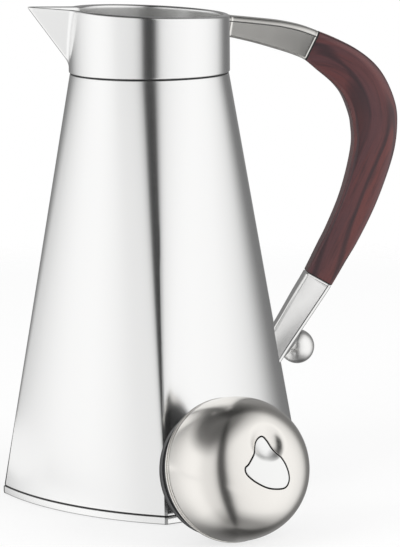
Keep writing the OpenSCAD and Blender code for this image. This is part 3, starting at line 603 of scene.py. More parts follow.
def smooth_loop(points, steps):
    """Closed curve through the points."""
    points = np.array(points, float)
    curve = []
    for i in range(len(points)):
        four = [points[(i + k) % len(points)] for k in (-1, 0, 1, 2)]
        curve += [smooth_between(*four, t) for t in np.arange(steps) / steps]
    return np.array(curve)


def grown(loop, amount):
    """The loop moved outward by amount."""
    along = np.roll(loop, -1, 0) - np.roll(loop, 1, 0)
    normal = np.stack([along[:, 1], -along[:, 0]], 1)
    normal /= np.linalg.norm(normal, axis=1, keepdims=True)
    outward = np.sign(np.sum(normal * (loop - loop.mean(0))))
    return loop + amount * outward * normal


leaf = smooth_loop(LEVER_EDGE, 18)
COLUMNS = len(leaf)
LEAF_MIDDLE = np.array([-1.0, -1.0])
print("leaf:", COLUMNS, "points")

# %% [markdown]
# The dome is spun from sheet. Its rows start at the bottom of the lever's gap,
# come up over an eased edge, spread to a circle on the crown and follow the
# bell down. They end in a rolled bead with a fine groove above it, and return
# up the inside.

# %% Dome shell
GAP_DEPTH = 3.0
EDGE_EASE = 0.25
CROWN_REACH = 27
BEAD_TOP = 3.5
BEAD_ROUND = 0.4
GROOVE = 0.6
FOOT_EASE = 0.65
start = grown(leaf, LEVER_GAP + EDGE_EASE)
spread = start - LEAF_MIDDLE
direction = np.arctan2(spread[:, 1], spread[:, 0])
spokes = np.stack([np.cos(direction), np.sin(direction)], 1)


def round_row(reach, z):
    return np.column_stack([reach * spokes, np.full(COLUMNS, z)])


def bell_row(angle, inset):
    """Row of the plain bell: angle goes from nought at its foot to a quarter turn at its top."""
    reach = (DOME_RADIUS - inset) * math.cos(angle) ** (2 / DOME_POWER)
    rise = (DOME_HEIGHT - inset - DOME_FOOT) * math.sin(angle) ** (2 / DOME_POWER)
    return round_row(reach, DOME_FOOT + rise)


dome_rows = [crown_row(grown(leaf, LEVER_GAP), GAP_DEPTH)]
for inset, back in eased(EDGE_EASE, 0, 30, 60, 90):
    dome_rows.append(crown_row(grown(leaf, LEVER_GAP + inset), back))
for share in np.linspace(0, 1, 26)[1:]:
    dome_rows.append(crown_row(start + (CROWN_REACH * spokes - start) * share))
first_angle = math.acos((CROWN_REACH / DOME_RADIUS) ** (DOME_POWER / 2))
bell_rows = [bell_row(angle, 0) for angle in np.linspace(first_angle, 0, 60)[1:]]
dome_rows += [row for row in bell_rows if row[0, 2] > BEAD_TOP + GROOVE]
groove_row = len(dome_rows)
dome_rows.append(round_row(DOME_RADIUS - 0.05, BEAD_TOP + GROOVE))
dome_rows.append(round_row(DOME_RADIUS - 0.5, BEAD_TOP + 0.5 * GROOVE))
for inset, back in eased(BEAD_ROUND, 90, 60, 30, 0):
    dome_rows.append(round_row(DOME_RADIUS - inset, BEAD_TOP - back))
for inset, back in eased(FOOT_EASE, 0, 22, 45, 67, 90):
    dome_rows.append(round_row(DOME_RADIUS - inset, DOME_FOOT + back))
dome_rows += [bell_row(angle, DOME_WALL) for angle in np.linspace(0.0, first_angle, 12)]
steel_dome = new_piece("steel_dome", *skin(laid(dome_rows), True), "stopper", "brushed_steel", 50)
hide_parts("stopper_dome")
print("dome:", len(dome_rows), "rows of", COLUMNS)

# %% [markdown]
# The part of the lever that shows is a leaf-shaped plate. It takes its top
# from the dome's own surface, so at rest the two run on without a step, and
# its edge is eased by the same small arc as the edge of the gap.

# %% Pouring lever
LEVER_PLATE = 2.2
LEAF_TIP = 0.02


def leaf_row(loop, share, drop=0.0):
    """Row of the leaf drawn in towards its middle."""
    return crown_row(LEAF_MIDDLE + (loop - LEAF_MIDDLE) * share, drop)


lever_rows = [leaf_row(leaf, LEAF_TIP, LEVER_PLATE), crown_row(leaf, LEVER_PLATE)]
for inset, back in eased(EDGE_EASE, 0, 30, 60, 90):
    lever_rows.append(crown_row(grown(leaf, -inset), back))
lever_rows += [leaf_row(grown(leaf, -EDGE_EASE), share) for share in np.linspace(1, LEAF_TIP, 30)[1:]]
steel_lever = new_piece("steel_lever", *skin(laid(lever_rows)), "pouring_lever", "brushed_steel", 50)
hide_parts("lever")
print("lever:", len(lever_rows), "rows")

# %% [markdown]
# The flange is the ring that rests on the mouth's seat. It is turned from
# plate, so it is a lathe piece with both outer edges rounded, and its bore is
# left square because the plug fills it.

# %% Flange ring
FLANGE_THICK = 1.3
FLANGE_BORE = 29.5
FLANGE_EDGE = 0.6
under_edge = eased(FLANGE_EDGE, 90, 72, 54, 36, 18, 0)
flange_profile = [(FLANGE_BORE, 0)]
flange_profile += [(FLANGE_RADIUS - inset, back) for inset, back in under_edge]
flange_profile += [(FLANGE_RADIUS - inset, FLANGE_THICK - back) for inset, back in under_edge[::-1]]
flange_profile += [(FLANGE_BORE, FLANGE_THICK)]
flange_skin = skin(laid(lathe_rows(flange_profile, 192)), True)
flange_ring = new_piece("flange_ring", *flange_skin, "stopper", "brushed_steel", 40)
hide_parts("stopper_flange")
print("flange ring:", len(flange_profile), "rows")

# %% [markdown]
# The valve's spring stands between the stopper's deck and the cap of the
# stem. It is wound from one wire.

# %% Valve spring
SPRING_RADIUS = 4.6
WIRE_RADIUS = 0.5
WIRE_ROOM = 0.05
SPRING_TURNS = 7
DECK_TOP = 3.8
CAP_UNDER = 31.0
wire_low = DECK_TOP + WIRE_RADIUS + WIRE_ROOM
wire_high = CAP_UNDER - WIRE_RADIUS - WIRE_ROOM
spring_rows = []
for share in np.linspace(0, 1, SPRING_TURNS * 32 + 1):
    turn = 2 * math.pi * SPRING_TURNS * share
    row = []
    for a in np.linspace(0, 2 * math.pi, 12, endpoint=False):
        r = SPRING_RADIUS + WIRE_RADIUS * math.cos(a)
        z = wire_low + (wire_high - wire_low) * share + WIRE_RADIUS * math.sin(a)
        row.append((r * math.cos(turn), r * math.sin(turn), z))
    spring_rows.append(row)
wound_spring = new_piece("wound_spring", *skin(laid(spring_rows)), "stopper", "screw_steel", 60)
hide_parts("valve_spring")
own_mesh(wound_spring)
print("spring:", SPRING_TURNS, "turns")

# %% [markdown]
# Under the lever's plate hang the boss, which turns on the pin, and the nub,
# which presses the valve's cap. On the real lever they are machined in one
# with it. Here they are short bars whose webs end inside the plate, so no seam
# shows.

# %% Boss and nub under the lever
WEB_TOP = 41.4
BAR_EDGE = 0.3


def cross_bar(x, z, radius, half):
    """A round bar across the lever at x, z, with a web up into the plate."""
    rows = []
    for y in (-half, -half + BAR_EDGE, half - BAR_EDGE, half):
        r = radius - (BAR_EDGE if abs(y) == half else 0.0)
        leans = np.radians(np.linspace(180, 360, 13))
        row = [(x + r * math.cos(lean), y, z + r * math.sin(lean)) for lean in leans]
        row += [(x + r * 0.6, y, WEB_TOP), (x - r * 0.6, y, WEB_TOP)]
        rows.append(row)
    return laid(rows)


boss_rows = cross_bar(-8.0, 38.2, 2.4, 6.0)
nub_rows = cross_bar(1.5, 34.55, 1.5, 3.0)
lever_boss = new_piece("lever_boss", *skin(boss_rows), "pouring_lever", "brushed_steel", 40)
lever_nub = new_piece("lever_nub", *skin(nub_rows), "pouring_lever", "brushed_steel", 40)
print("under the lever:", lever_boss.name, "and", lever_nub.name)

# %% [markdown]
# Finishes come next. Each is built from nodes, so it has no image to stretch
# and no edge to hide. An effect that several finishes share is a node group,
# tuned in one place, and each material keeps its own shader. A short helper
# makes a node and feeds its inputs, from plain values or from other nodes.

# %% Helpers for node trees
def feed(node, inputs):
    """Gives each input of a node a plain value, or wires it from a socket."""
    for key, value in inputs.items():
        if isinstance(value, bpy.types.NodeSocket):
            node.id_data.links.new(value, node.inputs[key])
        else:
            node.inputs[key].default_value = value


def add(tree, kind, inputs=(), **settings):
    """A node with its settings and its inputs."""
    node = tree.nodes.new(kind)
    for key, value in settings.items():
        setattr(node, key, value)
    feed(node, dict(inputs))
    return node


def new_group(name, inputs, outputs):
    """A shader node group with named sockets, and its two end nodes."""
    group = bpy.data.node_groups.new(name, "ShaderNodeTree")
    for label, kind, value in inputs:
        socket = group.interface.new_socket(label, in_out="INPUT", socket_type=kind)
        socket.default_value = value
    for label, kind in outputs:
        group.interface.new_socket(label, in_out="OUTPUT", socket_type=kind)
    return group, group.nodes.new("NodeGroupInput"), group.nodes.new("NodeGroupOutput")


def new_material(name):
    material = bpy.data.materials.new(name)
    material.use_nodes = True
    tree = material.node_tree
    return material, tree, tree.nodes["Principled BSDF"]


print("helpers ready for groups and materials")

# %% [markdown]
# Brushed steel carries fine scratches along one direction, and slow marks from
# handling under them. Both are noise: the scratches come from noise whose
# space is stretched, and the marks from noise about as broad as a hand. Both
# vary the roughness a little, and the scratches lift the surface by a hair.

# %% Brushed grain group
grain, grain_in, grain_out = new_group(
    "brushed_grain",
    [
        ("Stretch", "NodeSocketVector", (1.0, 1.0, 1.0)),
        ("Scale", "NodeSocketFloat", 900.0),
        ("Roughness", "NodeSocketFloat", 0.25),
        ("Amount", "NodeSocketFloat", 0.05),
        ("Marks", "NodeSocketFloat", 0.03),
    ],
    [("Roughness", "NodeSocketFloat"), ("Height", "NodeSocketFloat")],
)
asked = grain_in.outputs
place = add(grain, "ShaderNodeTexCoord").outputs["Object"]
stretch = add(grain, "ShaderNodeVectorMath", {0: place, 1: asked["Stretch"]}, operation="MULTIPLY")
fine = add(
    grain,
    "ShaderNodeTexNoise",
    {"Vector": stretch.outputs[0], "Scale": asked["Scale"], "Detail": 3.0, "Roughness": 0.6},
).outputs["Fac"]
slow = add(grain, "ShaderNodeTexNoise", {"Vector": place, "Scale": 18.0, "Detail": 2.0}).outputs["Fac"]
rough = asked["Roughness"]
for noise, amount in ((fine, asked["Amount"]), (slow, asked["Marks"])):
    centred = add(grain, "ShaderNodeMath", {0: noise, 1: 0.5}, operation="SUBTRACT")
    scaled = add(grain, "ShaderNodeMath", {0: centred.outputs[0], 1: amount}, operation="MULTIPLY")
    rough = add(grain, "ShaderNodeMath", {0: rough, 1: scaled.outputs[0]}, operation="ADD").outputs[0]
feed(grain_out, {"Roughness": rough, "Height": fine})
print("group:", grain.name, "with", len(grain.nodes), "nodes")

# %% [markdown]
# Steel is metal all the way: its colour is the colour of its reflection, and
# the brushing spreads the reflection a little. The body is brushed round it,
# the handle along its length, and the stopper is turned. The lower arm is
# nearly polished, and the screws and seams are dark because little light
# finds its way in.

# %% Steel finishes
ROUND_BODY = (0.06, 0.06, 1.0)
LENGTHWISE = (0.12, 1.0, 0.12)
TURNED = (0.3, 0.3, 1.0)
EVEN = (1.0, 1.0, 1.0)


def steel(name, color, roughness, stretch_by, scale, amount=0.05, marks=0.03, bump=0.02):
    """A brushed steel, as uneven and as raised as the last three values say."""
    material, tree, shader = new_material(name)
    brushing = {"Stretch": stretch_by, "Scale": scale, "Roughness": roughness}
    brushing.update({"Amount": amount, "Marks": marks})
    brushed = add(tree, "ShaderNodeGroup", brushing, node_tree=grain).outputs
    relief_from = {"Strength": bump, "Distance": 0.00002, "Height": brushed["Height"]}
    relief = add(tree, "ShaderNodeBump", relief_from)
    feed(shader, {"Base Color": (*color, 1), "Metallic": 1.0})
    feed(shader, {"Roughness": brushed["Roughness"], "Normal": relief.outputs["Normal"]})
    return material


body_steel = steel("body_steel", (0.93, 0.93, 0.925), 0.175, ROUND_BODY, 900.0, 0.03, 0.02, 0.01)
handle_steel = steel("handle_steel", (0.84, 0.825, 0.79), 0.25, LENGTHWISE, 900.0, 0.05, 0.04, 0.004)
polished_steel = steel("polished_steel", (0.96, 0.955, 0.945), 0.15, LENGTHWISE, 900.0, 0.03, 0.03, 0.003)
stopper_steel = steel("stopper_steel", (0.89, 0.865, 0.825), 0.205, TURNED, 500.0, 0.02, 0.02, 0.004)
lever_steel = steel("lever_steel", (0.9, 0.9, 0.89), 0.19, TURNED, 500.0, 0.02, 0.02, 0.004)
mouth_steel = steel("mouth_steel", (0.93, 0.93, 0.92), 0.29, EVEN, 700.0, 0.03, 0.02, 0.005)
ball_steel = steel("ball_steel", (0.93, 0.925, 0.91), 0.3, EVEN, 700.0, 0.03, 0.02, 0.005)
plain_steel = steel("plain_steel", (0.62, 0.62, 0.61), 0.32, EVEN, 600.0)
# dark_steel also stands for painted shade: it darkens the arms' seams and the dome's groove.
dark_steel = steel("dark_steel", (0.35, 0.35, 0.35), 0.35, EVEN, 600.0)
print("steels:", len([m for m in bpy.data.materials if "steel" in m.name]))

# %% [markdown]
# The grip is sawn from a board of rosewood, and its figure follows the curve:
# long streaks on the flat of the side, and close lines where the rounding cuts
# through one growth layer after another. A flat wood pattern would slide over
# the form. So the wood is solid: the nodes measure how far a point lies from a
# line inside the curve, how deep it lies in the board, and how far along.

# %% A point's place in the board
GRIP_TURN = (0.1, 0.0, 0.232)
GRIP_WAY = tuple(Vector((-0.42, 0.0, -0.9)).normalized())
figure, figure_in, figure_out = new_group(
    "rosewood_figure",
    [
        ("Red", "NodeSocketColor", (0.115, 0.027, 0.025, 1)),
        ("Brown", "NodeSocketColor", (0.078, 0.026, 0.03, 1)),
        ("Vein", "NodeSocketColor", (0.022, 0.01, 0.014, 1)),
        ("Rings", "NodeSocketFloat", 420.0),
    ],
    [("Color", "NodeSocketColor"), ("Roughness", "NodeSocketFloat"), ("Height", "NodeSocketFloat")],
)


def math_node(tree, operation, *inputs):
    """Output of a math node that is fed in order."""
    return add(tree, "ShaderNodeMath", dict(enumerate(inputs)), operation=operation).outputs[0]


def vector_node(tree, operation, inputs, output=0):
    return add(tree, "ShaderNodeVectorMath", inputs, operation=operation).outputs[output]


place = add(figure, "ShaderNodeTexCoord").outputs["Object"]
depth = add(figure, "ShaderNodeSeparateXYZ", {0: place}).outputs["Y"]
from_top = vector_node(figure, "SUBTRACT", {0: place, 1: GRIP_TURN})
flat = vector_node(figure, "MULTIPLY", {0: from_top, 1: (1.0, 0.0, 1.0)})
along = vector_node(figure, "DOT_PRODUCT", {0: flat, 1: GRIP_WAY}, "Value")
down_only = math_node(figure, "MAXIMUM", along, 0.0)
foot_point = vector_node(figure, "SCALE", {0: GRIP_WAY, "Scale": down_only})
off_line = vector_node(figure, "SUBTRACT", {0: flat, 1: foot_point})
across = vector_node(figure, "LENGTH", {0: off_line}, "Value")
along_short = math_node(figure, "MULTIPLY", along, 0.09)
board_place = add(figure, "ShaderNodeCombineXYZ", {"X": across, "Y": depth, "Z": along_short}).outputs[0]
print("board measured across, deep and along")

# %% [markdown]
# Dark veins follow the growth layers. A sine of the place across and deep in
# the board draws them, bent by slow noise as real layers are. Finer noise adds
# streaks between them, slow patches turn the red to brown, and the pores vary
# the sheen.

# %% Veins, streaks and pores
DEPTH_LAYERS = -2200.0
LAYER_BEND = 11.0


def board_noise(scale, detail, roughness=0.5):
    values = {"Vector": board_place, "Scale": scale, "Detail": detail, "Roughness": roughness}
    return add(figure, "ShaderNodeTexNoise", values).outputs["Fac"]


def spread_out(value, low, high, bottom=0.0, top=1.0):
    """Maps value from low to high onto bottom to top."""
    limits = {"From Min": low, "From Max": high, "To Min": bottom, "To Max": top}
    return add(figure, "ShaderNodeMapRange", {"Value": value, **limits}).outputs[0]


def mixed(factor, a, b):
    colors = {"Factor": factor, "A": a, "B": b}
    return add(figure, "ShaderNodeMix", colors, data_type="RGBA").outputs["Result"]


asked = figure_in.outputs
bend = math_node(figure, "MULTIPLY", board_noise(52.0, 2.0), LAYER_BEND)
layers_across = math_node(figure, "MULTIPLY", across, asked["Rings"])
layers_deep = math_node(figure, "MULTIPLY", depth, DEPTH_LAYERS)
layers = math_node(figure, "ADD", math_node(figure, "ADD", layers_across, bend), layers_deep)
veins = spread_out(math_node(figure, "SINE", layers), 0.45, 1.0, top=0.75)
streaks = spread_out(board_noise(420.0, 4.0, 0.65), 0.48, 0.74, top=0.7)
patches = spread_out(board_noise(75.0, 3.0, 0.6), 0.38, 0.62)
pores = board_noise(1500.0, 2.0)
red_brown = mixed(patches, asked["Red"], asked["Brown"])
streaked = mixed(streaks, mixed(veins, red_brown, asked["Vein"]), asked["Vein"])
pore_sheen = spread_out(pores, 0.3, 0.7, 0.34, 0.46)
feed(figure_out, {"Color": streaked, "Roughness": pore_sheen, "Height": pores})
print("group:", figure.name, "with", len(figure.nodes), "nodes")

# %% [markdown]
# The wood is oiled and lightly lacquered. A thin, slightly rough coat over the
# shader gives the soft highlight along the outer edge, and the pores show
# through as relief.

# %% Rosewood
def add_relief(tree, shader, group_node, strength):
    """Wires a group's colour, sheen and relief to the shader."""
    made = group_node.outputs
    relief_from = {"Strength": strength, "Distance": 0.0001, "Height": made["Height"]}
    relief = add(tree, "ShaderNodeBump", relief_from)
    feed(shader, {"Base Color": made["Color"], "Roughness": made["Roughness"]})
    feed(shader, {"Normal": relief.outputs["Normal"]})


rosewood, tree, shader = new_material("lacquered_rosewood")
add_relief(tree, shader, add(tree, "ShaderNodeGroup", node_tree=figure), 0.12)
feed(shader, {"Coat Weight": 0.35, "Coat Roughness": 0.3})
print("wood:", rosewood.name)

# %% [markdown]
# Rubber, silicone and moulded plastic share a fine speckle that breaks up
# their colour and sheen, as a mould's own texture does. One group serves them
# all, and each material asks for its colour and roughness.

# %% Speckle group
speckle, speckle_in, speckle_out = new_group(
    "moulded_speckle",
    [
        ("Color", "NodeSocketColor", (0.5, 0.5, 0.5, 1)),
        ("Roughness", "NodeSocketFloat", 0.5),
        ("Scale", "NodeSocketFloat", 700.0),
        ("Shade", "NodeSocketFloat", 0.15),
    ],
    [("Color", "NodeSocketColor"), ("Roughness", "NodeSocketFloat"), ("Height", "NodeSocketFloat")],
)
asked = speckle_in.outputs
place = add(speckle, "ShaderNodeTexCoord").outputs["Object"]
dot_values = {"Vector": place, "Scale": asked["Scale"], "Detail": 3.0, "Roughness": 0.6}
dots = add(speckle, "ShaderNodeTexNoise", dot_values).outputs["Fac"]
shade = math_node(speckle, "MULTIPLY", dots, asked["Shade"])
shade_values = {"Factor": shade, "A": asked["Color"], "B": (0.2, 0.2, 0.2, 1)}
darker = add(speckle, "ShaderNodeMix", shade_values, data_type="RGBA", blend_type="MULTIPLY")
rough = math_node(speckle, "ADD", asked["Roughness"], math_node(speckle, "MULTIPLY_ADD", dots, 0.12, -0.06))
feed(speckle_out, {"Color": darker.outputs["Result"], "Roughness": rough, "Height": dots})
print("group:", speckle.name, "with", len(speckle.nodes), "nodes")

# %% [markdown]
# The gaskets and feet are black rubber, the seals are silicone, and the plug
# and the deck under the dome are plastic. They differ in colour and sheen
# alone, so one function makes them all from the speckle.

# %% Rubber and plastic
def moulded(name, color, roughness):
    material, tree, shader = new_material(name)
    dotted = add(tree, "ShaderNodeGroup", {"Color": (*color, 1), "Roughness": roughness}, node_tree=speckle)
    add_relief(tree, shader, dotted, 0.1)
    return material


# This black serves the real gaskets and feet, and also paints the shade in the lever's gap and at the
# grip's ends.
black_rubber = moulded("black_rubber", (0.012, 0.012, 0.012), 0.6)
grey_silicone = moulded("grey_silicone", (0.06, 0.06, 0.062), 0.45)
dark_plastic = moulded("dark_plastic", (0.012, 0.012, 0.013), 0.35)
pale_plastic = moulded("pale_plastic", (0.6, 0.6, 0.58), 0.45)
print("moulded:", black_rubber.name, grey_silicone.name, dark_plastic.name, pale_plastic.name)

# %% [markdown]
# The flask's glass is silvered on the side that faces the vacuum, so it
# shines like a mirror from inside and out. A metal shader with a slight,
# slow change of roughness shows this better than clear glass would.

# %% Silvered glass
silvered_glass, tree, shader = new_material("silvered_glass")
ripple = {"Roughness": 0.09, "Amount": 0.03, "Scale": 60.0}
rippled = add(tree, "ShaderNodeGroup", ripple, node_tree=grain).outputs["Roughness"]
feed(shader, {"Base Color": (0.86, 0.88, 0.89, 1), "Metallic": 1.0, "Roughness": rippled})
print("glass:", silvered_glass.name)

# %% [markdown]
# Each new piece takes its finish, and so does each solid that is kept. The
# shape of such a solid is right as it is, so only its material changes.

# %% Finishes on the pieces
finishes = {
    body_steel: [body_shell, foot_band, spouted_collar],
    handle_steel: [steel_upper_arm],
    polished_steel: [steel_lower_arm],
    ball_steel: [steel_ball],
    stopper_steel: [steel_dome, flange_ring, lever_boss, lever_nub],
    lever_steel: [steel_lever],
    rosewood: [rosewood_grip],
    dark_steel: [wound_spring],
}
solid_finishes = {
    black_rubber: ["base_gasket", "rubber_feet", "neck_gasket", "dome_gasket"],
    grey_silicone: ["flask_cushion", "glass_spacers", "flask_seal", "plug_seal", "valve_washer"],
    plain_steel: ["base_plate", "lever_bracket", "valve_stem"],
    dark_steel: [
        "base_screws", "arm_screw", "grip_studs", "foot_nut", "stopper_screws",
        "bracket_screws", "lever_pin",
    ],
    dark_plastic: ["plug"],
    pale_plastic: ["collar_core", "stopper_deck", "valve_disc"],
    silvered_glass: ["outer_glass", "inner_glass"],
}
finished = [(material, piece) for material, made in finishes.items() for piece in made]
for material, names in solid_finishes.items():
    finished += [(material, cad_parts[name]) for name in names]
for material, piece in finished:
    piece.data.materials.clear()
    piece.data.materials.append(material)
print("finished pieces:", len(finished))

# %% [markdown]
# Some faces of a piece take a second material. The dull inside of the mouth
# has a finish of its own. The seam along each arm, the ends of the grip, the
# groove above the dome's bead and the walls of the gap round the lever are
# painted dark as the shade that falls in them. Separate pieces would have to
# be fitted. Here the rows and columns of each mesh say which faces these are,
# and the mouth's are the steep ones that face its axis.

# %% Second finishes and painted shade
def finish_or_painted_shade(piece, material, chosen):
    """Gives the faces that chosen picks another material: a second finish, or painted shade."""
    piece.data.materials.append(material)
    slot = len(piece.data.materials) - 1
    for face in piece.data.polygons:
        if chosen(face):
            face.material_index = slot


ACROSS = len(arm_rows[0])
GRIP_ACROSS = len(grip_rows[0])
SEAM_COLUMNS = [BACK_STEPS, BACK_STEPS + 1, ACROSS - BACK_STEPS - 3, ACROSS - BACK_STEPS - 2]
# The seam faces of both arms are painted dark steel as the shade in the groove.
for piece in (steel_upper_arm, steel_lower_arm):
    finish_or_painted_shade(piece, dark_steel, lambda face: face.index % ACROSS in SEAM_COLUMNS)
# The grip's end faces are painted near black as the shade in the gap at each end.
open_rows = range(3, len(grip_rows) - 4)
finish_or_painted_shade(rosewood_grip, black_rubber, lambda face: face.index // GRIP_ACROSS not in open_rows)
finish_or_painted_shade(
    spouted_collar,
    mouth_steel,
    lambda face: abs(face.normal.z) < 0.3 and face.normal.xy.dot(face.center.xy) < 0,
)
# The groove above the bead is painted dark steel as the shade in it.
groove_rows = (groove_row, groove_row + 1)
finish_or_painted_shade(steel_dome, dark_steel, lambda face: face.index // COLUMNS in groove_rows)
# The walls of the gap round the lever, on dome and lever, are painted black as the shade in the gap.
finish_or_painted_shade(steel_dome, black_rubber, lambda face: face.index < COLUMNS)
finish_or_painted_shade(steel_lever, black_rubber, lambda face: face.index // COLUMNS == 1)
print("second finishes on columns", SEAM_COLUMNS, "and rows", groove_rows)

# %% [markdown]
# The handle stays out of the steel's reflections, where its broken outline
# would distract from the clean dark band along the body's edge. That is a
# setting of the pieces, so their materials stay true.

# %% Kept out of reflections
kept_out = [steel_upper_arm, steel_lower_arm, rosewood_grip, steel_ball]
kept_out += [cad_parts[name] for name in ("grip_studs", "arm_screw", "foot_nut")]
for piece in kept_out:
    piece.visible_glossy = False
print("kept out of reflections:", len(kept_out))

# %% [markdown]
# The camera looks a little down from well back, through a long lens, so that
# the upright sides stay nearly parallel, as in a maker's catalogue. Its place
# and the way it looks are given outright, because a long lens shows the
# smallest turn.

# %% Camera
CAMERA_PLACE = (-0.1495, -1.8783, 0.4542)
CAMERA_WAY = (0.0938, 0.9815, -0.1665)
CAMERA_ROLL = -0.0077
camera = bpy.data.objects.new("camera", bpy.data.cameras.new("camera"))
bpy.context.scene.collection.objects.link(camera)
bpy.context.scene.camera = camera
forward = Vector(CAMERA_WAY).normalized()
right = forward.cross(Vector((0, 0, 1))).normalized()
turned = Matrix((right, right.cross(forward), -forward)).transposed().to_4x4()
camera.matrix_world = Matrix.Translation(CAMERA_PLACE) @ turned @ Matrix.Rotation(CAMERA_ROLL, 4, "Z")
camera.data.sensor_width = 36
camera.data.lens = 204.13
camera.data.clip_end = 50
print("camera at", [round(v, 3) for v in camera.location])

# %% [markdown]
# The pot stands in a plain white studio. The floor is pale: partly paint, which
# takes the pot's soft shadow, and partly its own light, which keeps it white.
# It fades out with distance, so it meets the white background with no line,
# and reflections pass through it to the lights below.

# %% Floor
FLOOR_REACH = 1.0
FADE_START = 0.82
FADE_END = 0.99


def flat_sheet(name, x0, x1, y0, y1, z, material):
    """A level sheet for the stage."""
    mesh = bpy.data.meshes.new(name)
    mesh.from_pydata([(x0, y0, z), (x1, y0, z), (x1, y1, z), (x0, y1, z)], [], [(0, 1, 2, 3)])
    mesh.materials.append(material)
    sheet = bpy.data.objects.new(name, mesh)
    bpy.context.scene.collection.objects.link(sheet)
    return sheet


def mix_shaders(tree, factor, a, b):
    return add(tree, "ShaderNodeMixShader", {0: factor, 1: a, 2: b}).outputs[0]


def new_paint(name):
    """A material without its first shader, and the node that takes the surface."""
    material, tree, shader = new_material(name)
    tree.nodes.remove(shader)
    return material, tree, tree.nodes["Material Output"]


floor_paint, tree, surface = new_paint("floor_paint")
paint = add(tree, "ShaderNodeBsdfDiffuse", {"Color": (0.95, 0.95, 0.95, 1)}).outputs[0]
glow = add(tree, "ShaderNodeEmission", {"Color": (1, 1, 1, 1), "Strength": 1.0}).outputs[0]
clear = add(tree, "ShaderNodeBsdfTransparent").outputs[0]
place = add(tree, "ShaderNodeTexCoord").outputs["Object"]
away = vector_node(tree, "LENGTH", {0: place}, "Value")
fade_values = {"Value": away, "From Min": FADE_START, "From Max": FADE_END}
fade = add(tree, "ShaderNodeMapRange", fade_values).outputs[0]
ray = add(tree, "ShaderNodeLightPath").outputs
near_floor = mix_shaders(tree, ray["Is Glossy Ray"], mix_shaders(tree, 0.72, paint, glow), clear)
feed(surface, {"Surface": mix_shaders(tree, fade, near_floor, clear)})
floor = flat_sheet("floor", -FLOOR_REACH, FLOOR_REACH, -FLOOR_REACH, FLOOR_REACH, -0.0002, floor_paint)
print("floor:", FLOOR_REACH * 2, "m wide")

# %% [markdown]
# White and grey cards lie on the floor, and only reflections see them. They
# light the underside of the spout, whose edges catch the whiter ones, and the
# lower arm of the handle. A studio does the same with sheets of board.

# %% Bounce cards
CARD_HEIGHT = 0.0004
CARDS = [
    (-0.6, -0.2, 0.05, 0.32, 0.98), (-0.42, -0.27, -0.45, 0.02, 0.84),
    (0.05, 0.6, -1.0, -0.5, 0.97),
]
for k, (x0, x1, y0, y1, brightness) in enumerate(CARDS):
    card_paint, tree, surface = new_paint(f"card_paint_{k}")
    glow = add(tree, "ShaderNodeEmission", {"Color": (1, 1, 1, 1), "Strength": brightness}).outputs[0]
    feed(surface, {"Surface": glow})
    card = flat_sheet(f"bounce_card_{k}", x0, x1, y0, y1, CARD_HEIGHT, card_paint)
    card.visible_camera = False
    card.visible_diffuse = False
    card.visible_shadow = False
print("cards:", len(CARDS))

# %% [markdown]
# Steel is drawn by what it reflects. Two broad soft boxes stand left and right
# of the viewer, and the dark gap between them draws the narrow dark stripe
# down the pot. Behind the pot the boxes end, which darkens its outer edges.
# Lamps can't fade like this, so the world itself carries the boxes: one ramp
# gives the light by bearing and the other by height.

# %% Light by bearing
SOFT_BOXES = [
    (-180, 0.2), (-156, 0.22), (-144, 0.32), (-135, 0.5), (-127, 0.64), (-119, 0.75),
    (-110, 0.86), (-99, 0.95), (-88, 1.01), (-70, 1.03), (-56, 0.97), (-44, 0.86),
    (-34, 0.84), (-20, 0.8), (-11, 0.6), (-7, 0.03), (9, 0.03), (11.5, 0.4), (17, 0.78),
    (26, 0.9), (40, 0.97), (66, 1.03), (88, 1.0), (104, 0.9), (114, 0.78), (121, 0.58),
    (128, 0.35), (135, 0.2), (150, 0.18), (165, 0.25), (180, 0.3),
]
world = bpy.data.worlds.new("studio")
bpy.context.scene.world = world
world.use_nodes = True
sky = world.node_tree
sky.nodes.clear()


def grey_ramp(share, stops):
    """Colour of a ramp at share, its stops given as (place, brightness)."""
    node = add(sky, "ShaderNodeValToRGB", {0: share})
    ramp = node.color_ramp
    while len(ramp.elements) > 1:
        ramp.elements.remove(ramp.elements[-1])
    for k, (spot, brightness) in enumerate(stops):
        stop = ramp.elements[0] if k == 0 else ramp.elements.new(spot)
        stop.position = spot
        stop.color = (brightness, brightness, brightness, 1)
    return node.outputs["Color"]


flat_toward = Vector((-forward.x, -forward.y, 0)).normalized()
flat_right = Vector((right.x, right.y, 0)).normalized()
way = add(sky, "ShaderNodeTexCoord").outputs["Generated"]
to_viewer = vector_node(sky, "DOT_PRODUCT", {0: way, 1: flat_toward}, "Value")
to_right = vector_node(sky, "DOT_PRODUCT", {0: way, 1: flat_right}, "Value")
bearing = math_node(sky, "ARCTAN2", to_right, to_viewer)
bearing_values = {"Value": bearing, "From Min": -math.pi, "From Max": math.pi}
bearing_share = add(sky, "ShaderNodeMapRange", bearing_values).outputs[0]
by_bearing = grey_ramp(bearing_share, [((a + 180) / 360, b) for a, b in SOFT_BOXES])
print("soft boxes:", len(SOFT_BOXES), "stops")

# %% [markdown]
# Overhead the studio is dim and below the horizon it falls to grey, which
# models the dome and the spout. The box on the right stands taller, and the
# one on the left reaches further down.

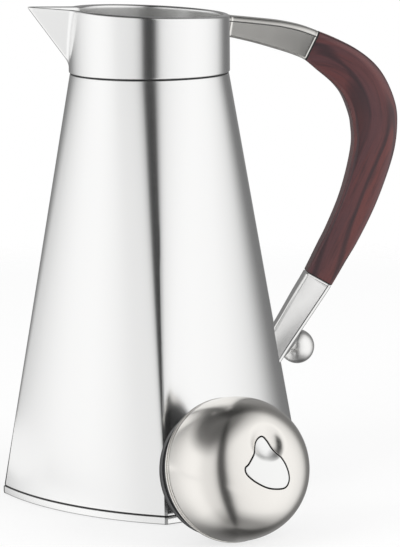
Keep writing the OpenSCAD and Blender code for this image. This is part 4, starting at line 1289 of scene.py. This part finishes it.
# %% Light by height
BY_HEIGHT = [
    (-90, 0.27), (-62, 0.3), (-50, 0.6), (-36, 0.95), (-20, 1.0), (34, 1.0), (47, 0.55),
    (60, 0.18), (90, 0.12),
]
RIGHT_TALLER = -0.4
LEFT_DEEPER = 0.45
height = add(sky, "ShaderNodeSeparateXYZ", {0: way}).outputs["Z"]
over_scale = math_node(sky, "MULTIPLY_ADD", to_right, RIGHT_TALLER, 1.0)
under_values = {0: to_right, 1: LEFT_DEEPER, 2: 1.0}
under_scale = add(sky, "ShaderNodeMath", under_values, operation="MULTIPLY_ADD", use_clamp=True).outputs[0]
over = math_node(sky, "MULTIPLY", over_scale, math_node(sky, "MAXIMUM", height, 0.0))
scaled_height = math_node(sky, "MULTIPLY_ADD", under_scale, math_node(sky, "MINIMUM", height, 0.0), over)
height_values = {"Value": scaled_height, "From Min": -1.0, "From Max": 1.0}
height_share = add(sky, "ShaderNodeMapRange", height_values).outputs[0]
by_height = grey_ramp(height_share, [((math.sin(math.radians(a)) + 1) / 2, b) for a, b in BY_HEIGHT])
print("height:", len(BY_HEIGHT), "stops")

# %% [markdown]
# Reflections see the soft boxes, the background behind the pot is plain white,
# and all other light is an even glow. A world can answer each kind of ray in
# its own way, so the three don't spoil one another.

# %% What each ray sees
box_values = {"Factor": 1.0, "A": by_bearing, "B": by_height}
boxes = add(sky, "ShaderNodeMix", box_values, data_type="RGBA", blend_type="MULTIPLY").outputs["Result"]
studio = add(sky, "ShaderNodeBackground", {"Color": boxes, "Strength": 1.0}).outputs[0]
glow = add(sky, "ShaderNodeBackground", {"Color": (1, 1, 1, 1), "Strength": 0.8}).outputs[0]
white = add(sky, "ShaderNodeBackground", {"Color": (1, 1, 1, 1), "Strength": 1.0}).outputs[0]
ray = add(sky, "ShaderNodeLightPath").outputs
seen = mix_shaders(sky, ray["Is Camera Ray"], mix_shaders(sky, ray["Is Glossy Ray"], glow, studio), white)
add(sky, "ShaderNodeOutputWorld", {"Surface": seen})
print("world:", len(sky.nodes), "nodes")

# %% [markdown]
# Two area lamps to left and right give the wood its form and the floor a soft
# shadow. They stay out of reflections, where the boxes already are.

# %% Lamps
AIM = Vector((0, 0, 0.15))
LAMP_POWER = 14.0
LAMP_SIZE = 1.2
for name, spot in (("left_light", (-1.5, -1.2, 1.1)), ("right_light", (1.5, -1.0, 1.1))):
    lamp = bpy.data.lights.new(name, "AREA")
    lamp.energy = LAMP_POWER
    lamp.size = LAMP_SIZE
    holder = bpy.data.objects.new(name, lamp)
    bpy.context.scene.collection.objects.link(holder)
    holder.location = spot
    holder.rotation_euler = (AIM - Vector(spot)).to_track_quat("-Z", "Y").to_euler()
    holder.visible_glossy = False
print("lights:", len(bpy.data.lights))

# %% [markdown]
# The Standard view transform shows each colour as it was written, and closes
# the lesson.

# %% Close
bpy.context.scene.view_settings.view_transform = "Standard"
